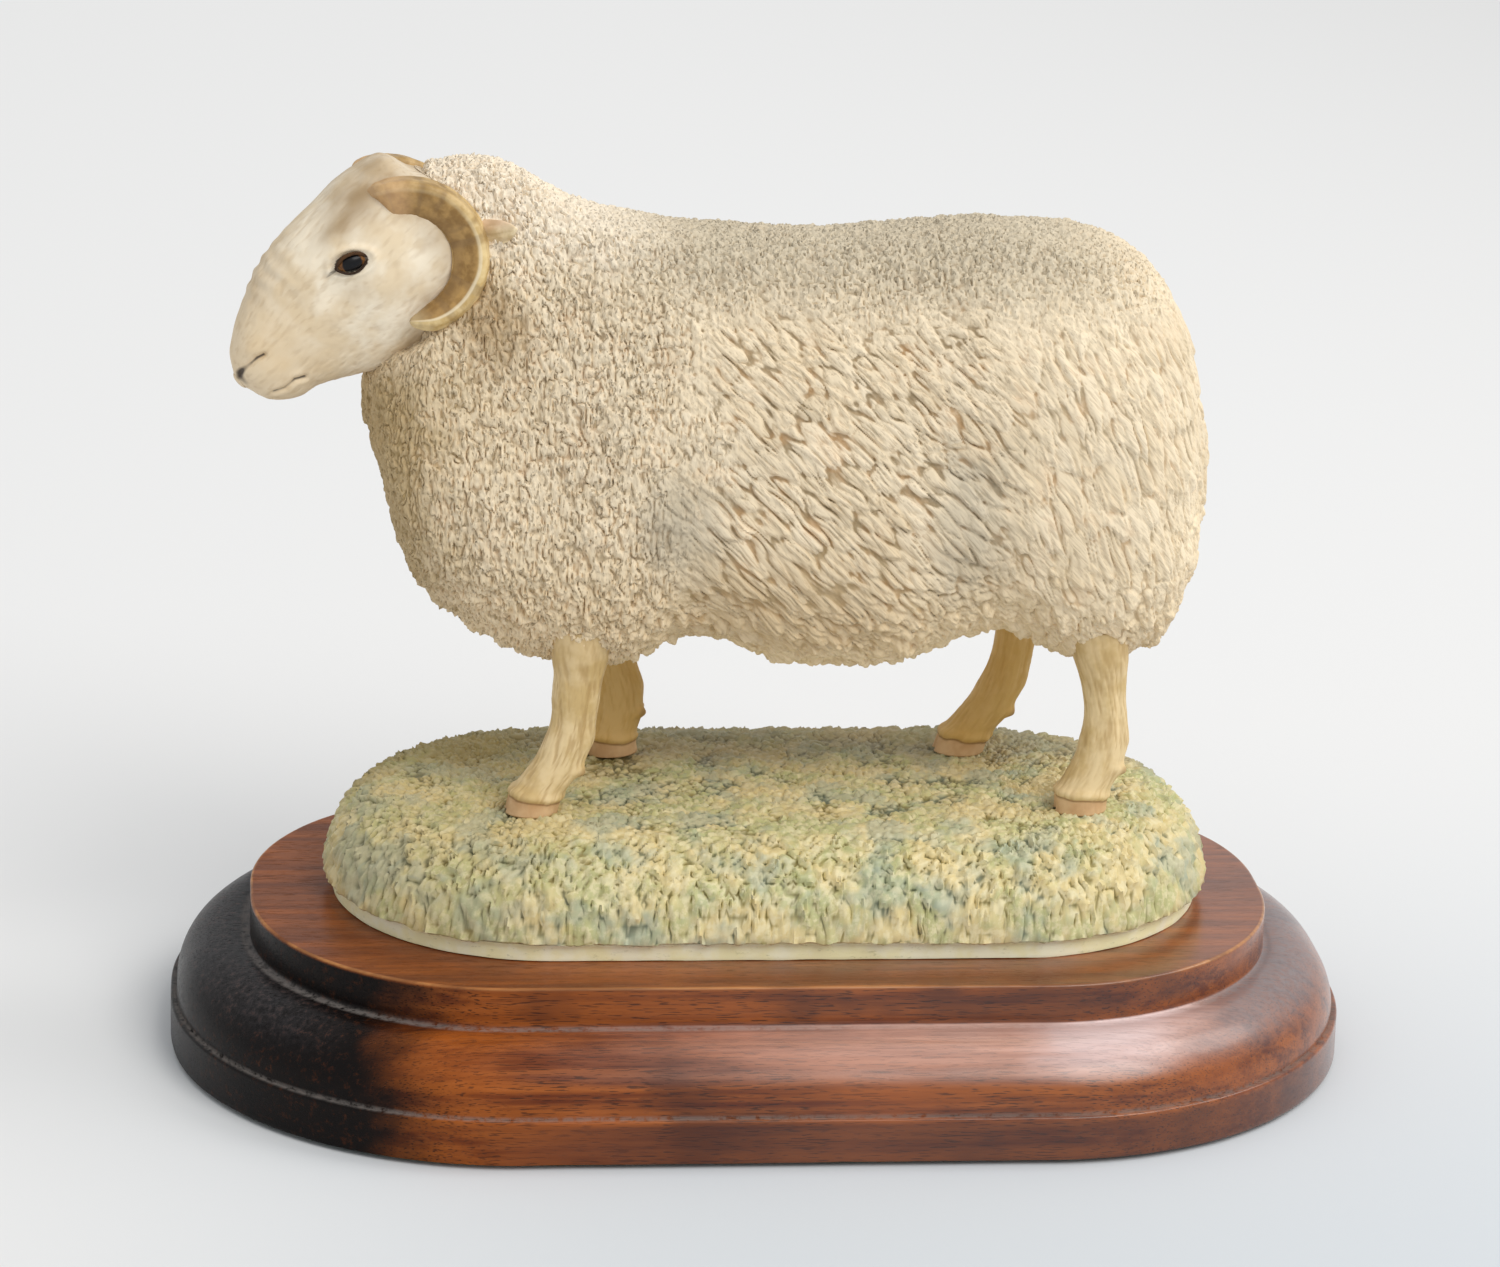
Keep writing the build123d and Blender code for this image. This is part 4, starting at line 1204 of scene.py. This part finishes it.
def horn_rings(side, stations, sides):
    """The four-sided section, rounded through its points, swept round the curl as it tapers."""
    t = np.linspace(-horn_sunk_share, 1, stations)[:, None, None]
    angle = horn_angles[0] + (horn_angles[1] - horn_angles[0]) * t
    sunk = np.clip(-t / horn_sunk_share, 0, 1)
    outward = back_way * np.cos(angle) + up_way * np.sin(angle)
    reach = horn_root_reach + horn_spread * np.sin(np.pi / 2 * t) - horn_sunk * sunk**1.5
    middle = horn_centre + outward * horn_curl_radius + far_way * (side * reach)
    above = np.maximum(t, 0)
    slim = (1 - 0.18 * above) * np.sqrt(np.maximum(1 - above**6, 0.0)) * (1 - 0.45 * sunk**2)
    size = horn_tip_size * np.minimum(1, 9 * (1.0 - t) + 0.05) + (horn_root_size - horn_tip_size) * slim
    corners = np.concatenate([horn_section_shares[-1:], horn_section_shares, horn_section_shares[:2]])
    knots = np.arange(-1, len(horn_section_shares) + 2) / len(horn_section_shares)
    loop = np.arange(sides) / sides
    out_share, side_share = table_curve(np.column_stack([knots, corners]), loop)
    twist = horn_twist[0] + (horn_twist[1] - horn_twist[0]) * np.clip(t, 0, 1)
    twisted_out = out_share[None, :, None] * np.cos(twist) + side_share[None, :, None] * np.sin(twist)
    twisted_side = side_share[None, :, None] * np.cos(twist) - out_share[None, :, None] * np.sin(twist)
    grid = middle + outward * (size * twisted_out) + far_way * (side * size * twisted_side)
    along, loop = np.broadcast_arrays(t[..., 0], loop)
    zero = np.zeros_like(loop)
    growth = lumps(np.stack([along * 46, zero, zero], -1), 1.0, 61) + 0.6 * lumps(grid, 1.4, 62)
    streaks = lumps(np.stack([along * 7, loop * 24, zero], -1), 1.0, 63)
    ridge_loop = 0.205 + 0.012 * lumps(np.stack([along * 9, zero, zero], -1), 1.0, 64)
    ridge = bell(loop, ridge_loop, 0.018)
    hollow = bell(loop, 0.095, 0.060) * np.sin(np.pi * np.clip(along * 1.05, 0, 1))
    heave = 0.04 * growth + 0.05 * streaks + 0.14 * ridge - 0.50 * hollow
    fields = {"growth": 0.5 + 0.4 * growth, "streak": 0.5 + 0.5 * streaks}
    fields.update({"edge": ridge, "along": along, "loop": loop})
    if side < 0:
        grid, heave = grid[::-1], heave[::-1]
        fields = {name: values[::-1] for name, values in fields.items()}
    return heaved(grid, heave), fields


def horn_paint():
    """Olive-brown on the broad face, ochre on the outer strip, a pale ridge between them, darker
    growth lines, painted shade along the inner edge, and pinkish next to the root."""
    paint = Finish("horn_paint", 0.46, Specular_IOR_Level=0.45)
    blotch = paint.grain(2.6, 3.0, 0.6)
    growth = paint.field("growth")
    loop = paint.field("loop")
    along = paint.field("along")
    outer = loop.band(0.185, 0.225, 0.50, 0.60) * (0.35 + along.between(0.15, 0.50) * 0.65)
    crest = paint.field("edge").between(0.35, 0.95) * (0.12 + along.between(0.25, 0.65) * 0.60)
    broad = paint.mix(blotch.between(0.35, 0.65), (0.27, 0.145, 0.035), (0.47, 0.280, 0.090))
    strip = paint.mix(blotch.between(0.35, 0.65), (0.58, 0.39, 0.140), (0.76, 0.58, 0.29))
    paint.lay(
        broad,
        (outer, strip),
        (growth.below(0.15, 0.55) * 0.45, (0.20, 0.115, 0.045)),
        (paint.field("streak").below(0.1, 0.5) * 0.28, (0.26, 0.16, 0.07)),
        # painted shade: darker towards the inner edge, in the hollow of the broad face
        (loop.below(0.03, 0.12) * 0.45, (0.20, 0.110, 0.035)),
        (crest, (0.84, 0.72, 0.50)),
        (along.below(0.03, 0.13) * 0.40, (0.72, 0.44, 0.24)),
        (along.between(0.88, 1.0) * 0.45, (0.74, 0.60, 0.36)),
    )
    paint.relief(growth + blotch * 0.5, 0.05, 0.5)
    return paint


horn_finish = horn_paint()
for side, name in ((-1, "left_horn"), (1, "right_horn")):
    grid, fields = horn_rings(side, horn_rows, horn_sides)
    dress(shell(name + "_cast", grid, fields), horn_finish, "horn", name)

# The ears: thin leaf-shaped resin castings, glued to the head behind the horns.
# They are painted tan, pinkish towards the lower edge.
ear_length = 15.4
ear_width = 5.2
ear_thickness = 1.5
ear_splay = np.radians(40.0)
ear_lift = np.radians(14.7)
ear_rows = 70
ear_sides = 48
ear_shares = np.array((
    (0.00, 0.50, 1.00),
    (0.25, 0.90, 1.00),
    (0.55, 1.00, 0.90),
    (0.85, 0.70, 0.70),
    (1.00, 0.22, 0.40),
))


def ear_rings(side):
    """A leaf: flat ellipses along a line back and out, cupped a little across."""
    root = neck_point + back_way * 0.4 + far_way * (side * 4.4) - up_way * 3.0
    level = back_way * np.cos(ear_splay) + far_way * (side * np.sin(ear_splay))
    along = level * np.cos(ear_lift) + up_way * np.sin(ear_lift)
    across = np.cross(along, far_way * side)
    across /= np.linalg.norm(across)
    through = np.cross(along, across)
    share = np.linspace(0, 1, ear_rows)
    angle = whole_turn(ear_sides)
    width, thickness = table_curve(ear_shares, share)
    close = np.sqrt(np.maximum(1 - smooth(share, 0.93, 1.0) ** 2 * 0.99, 0.0))
    flat = np.cos(angle)[None, :] * (ear_width / 2 * width * close)[:, None]
    deep = np.sin(angle)[None, :] * (ear_thickness / 2 * thickness * close)[:, None]
    cup = 0.35 * (flat / (ear_width / 2)) ** 2 * smooth(share, 0.2, 0.6)[:, None]
    grid = root + along * (ear_length * share)[:, None, None] + across * flat[..., None]
    grid = grid + through * (deep + cup)[..., None]
    hair = lumps(np.stack([share[:, None] * 4 + 0 * flat, flat, deep], -1), 0.5, 71)
    return heaved(grid, 0.07 * hair), {"hair": 0.5 + 0.5 * hair, "low": -flat / ear_width + 0.5}


def ear_paint():
    """Tan paint, paler hair, pinkish towards the lower edge."""
    paint = Finish("ear_paint", 0.60, Specular_IOR_Level=0.35)
    tone = paint.grain(2.0, 3.0, 0.6)
    hair = paint.field("hair")
    tan = paint.mix(tone.between(0.35, 0.65), (0.70, 0.54, 0.30), (0.88, 0.73, 0.48))
    paint.lay(
        tan,
        (paint.field("low").between(0.45, 0.9) * 0.6, (0.72, 0.47, 0.33)),
        (hair.below(0.1, 0.5) * 0.4, (0.40, 0.26, 0.12)),
    )
    paint.relief(hair, 0.06, 0.5)
    return paint


ear_finish = ear_paint()
for side, name in ((-1, "left_ear"), (1, "right_ear")):
    dress(shell(name + "_cast", *ear_rings(side)), ear_finish, "ear", name)

# The stage: a pale floor under soft studio light, painted darker to the right as shade and with a
# painted shadow round the plinth, with the camera where the photograph was taken from, 18 degrees
# above the level and turned a little towards the sheep's face.
image_width = 1500
focal_pixels = 5000
sensor_width = 36
camera_place = np.array([-90.08, -795.68, 331.28])
camera_lift = np.radians(18.0)
camera_azimuth = np.radians(-6.25)
camera_roll = np.radians(1.93)
camera_right = np.array([np.cos(camera_azimuth), np.sin(camera_azimuth), 0])
camera_level = np.array([np.sin(camera_azimuth), -np.cos(camera_azimuth), 0])
camera_back = camera_level * np.cos(camera_lift) + up_way * np.sin(camera_lift)
camera_up = np.cross(camera_back, camera_right)
turned_right = np.cos(camera_roll) * camera_right + np.sin(camera_roll) * camera_up
turned_up = np.cos(camera_roll) * camera_up - np.sin(camera_roll) * camera_right
camera_data = bpy.data.cameras.new("photo_camera")
camera_data.sensor_fit = "HORIZONTAL"
camera_data.sensor_width = sensor_width
camera_data.lens = sensor_width * focal_pixels / image_width
camera_data.clip_start = 0.01
turning = Matrix(np.column_stack([turned_right, turned_up, camera_back]).tolist()).to_4x4()
camera = placed("photo_camera", camera_data)
camera.matrix_world = Matrix.Translation((camera_place * mm).tolist()) @ turning
bpy.context.scene.camera = camera

floor_half = 9.0
floor_corners = [(-1, -1), (1, -1), (1, 1), (-1, 1)]
floor_mesh = bpy.data.meshes.new("floor")
floor_mesh.from_pydata([(x * floor_half, y * floor_half, 0) for x, y in floor_corners], [], [(0, 1, 2, 3)])
floor_finish = Finish("floor_paper", 0.9, Specular_IOR_Level=0.0)
# painted shade darkens the floor to the right, and a painted bluish shadow lies round the plinth
painted_shade_right = floor_finish.axis("X").between(0.0, 0.9)
painted_floor_shadow = floor_finish.axis("Y").below(-0.15, 0.18) * floor_finish.axis("X").between(-0.17, 0.0)
floor_with_painted_shade = floor_finish.mix(painted_shade_right, (0.80, 0.80, 0.80), (0.61, 0.61, 0.61))
floor_finish.lay(floor_with_painted_shade, (painted_floor_shadow, (0.64, 0.68, 0.72)))
floor_mesh.materials.append(floor_finish.material)
floor = placed("floor", floor_mesh)

world = bpy.data.worlds.new("studio")
bpy.context.scene.world = world
world.use_nodes = True
world.node_tree.nodes["Background"].inputs["Color"].default_value = (0.96, 0.98, 1.0, 1.0)
world.node_tree.nodes["Background"].inputs["Strength"].default_value = 0.66

key_light = bpy.data.lights.new("key", "SUN")
key_light.energy = 1.35
key_light.angle = np.radians(34)
key_light.color = (1.0, 0.97, 0.92)
key = placed("key", key_light)
key.rotation_euler = (np.radians(42), np.radians(20), np.radians(14))

side_light = bpy.data.lights.new("side_box", "AREA")
side_light.shape = "DISK"
side_light.size = 0.70
side_light.energy = 4.4
side_light.color = (1.0, 0.98, 0.96)
side_box = placed("side_box", side_light)
side_way = Vector((0.68, 0.02, 0.73)).normalized()
side_box.rotation_euler = side_way.to_track_quat("Z", "Y").to_euler()
side_box.location = Vector((0.06, 0.0, 0.04)) + side_way * 1.25

bpy.context.scene.view_settings.view_transform = "Standard"
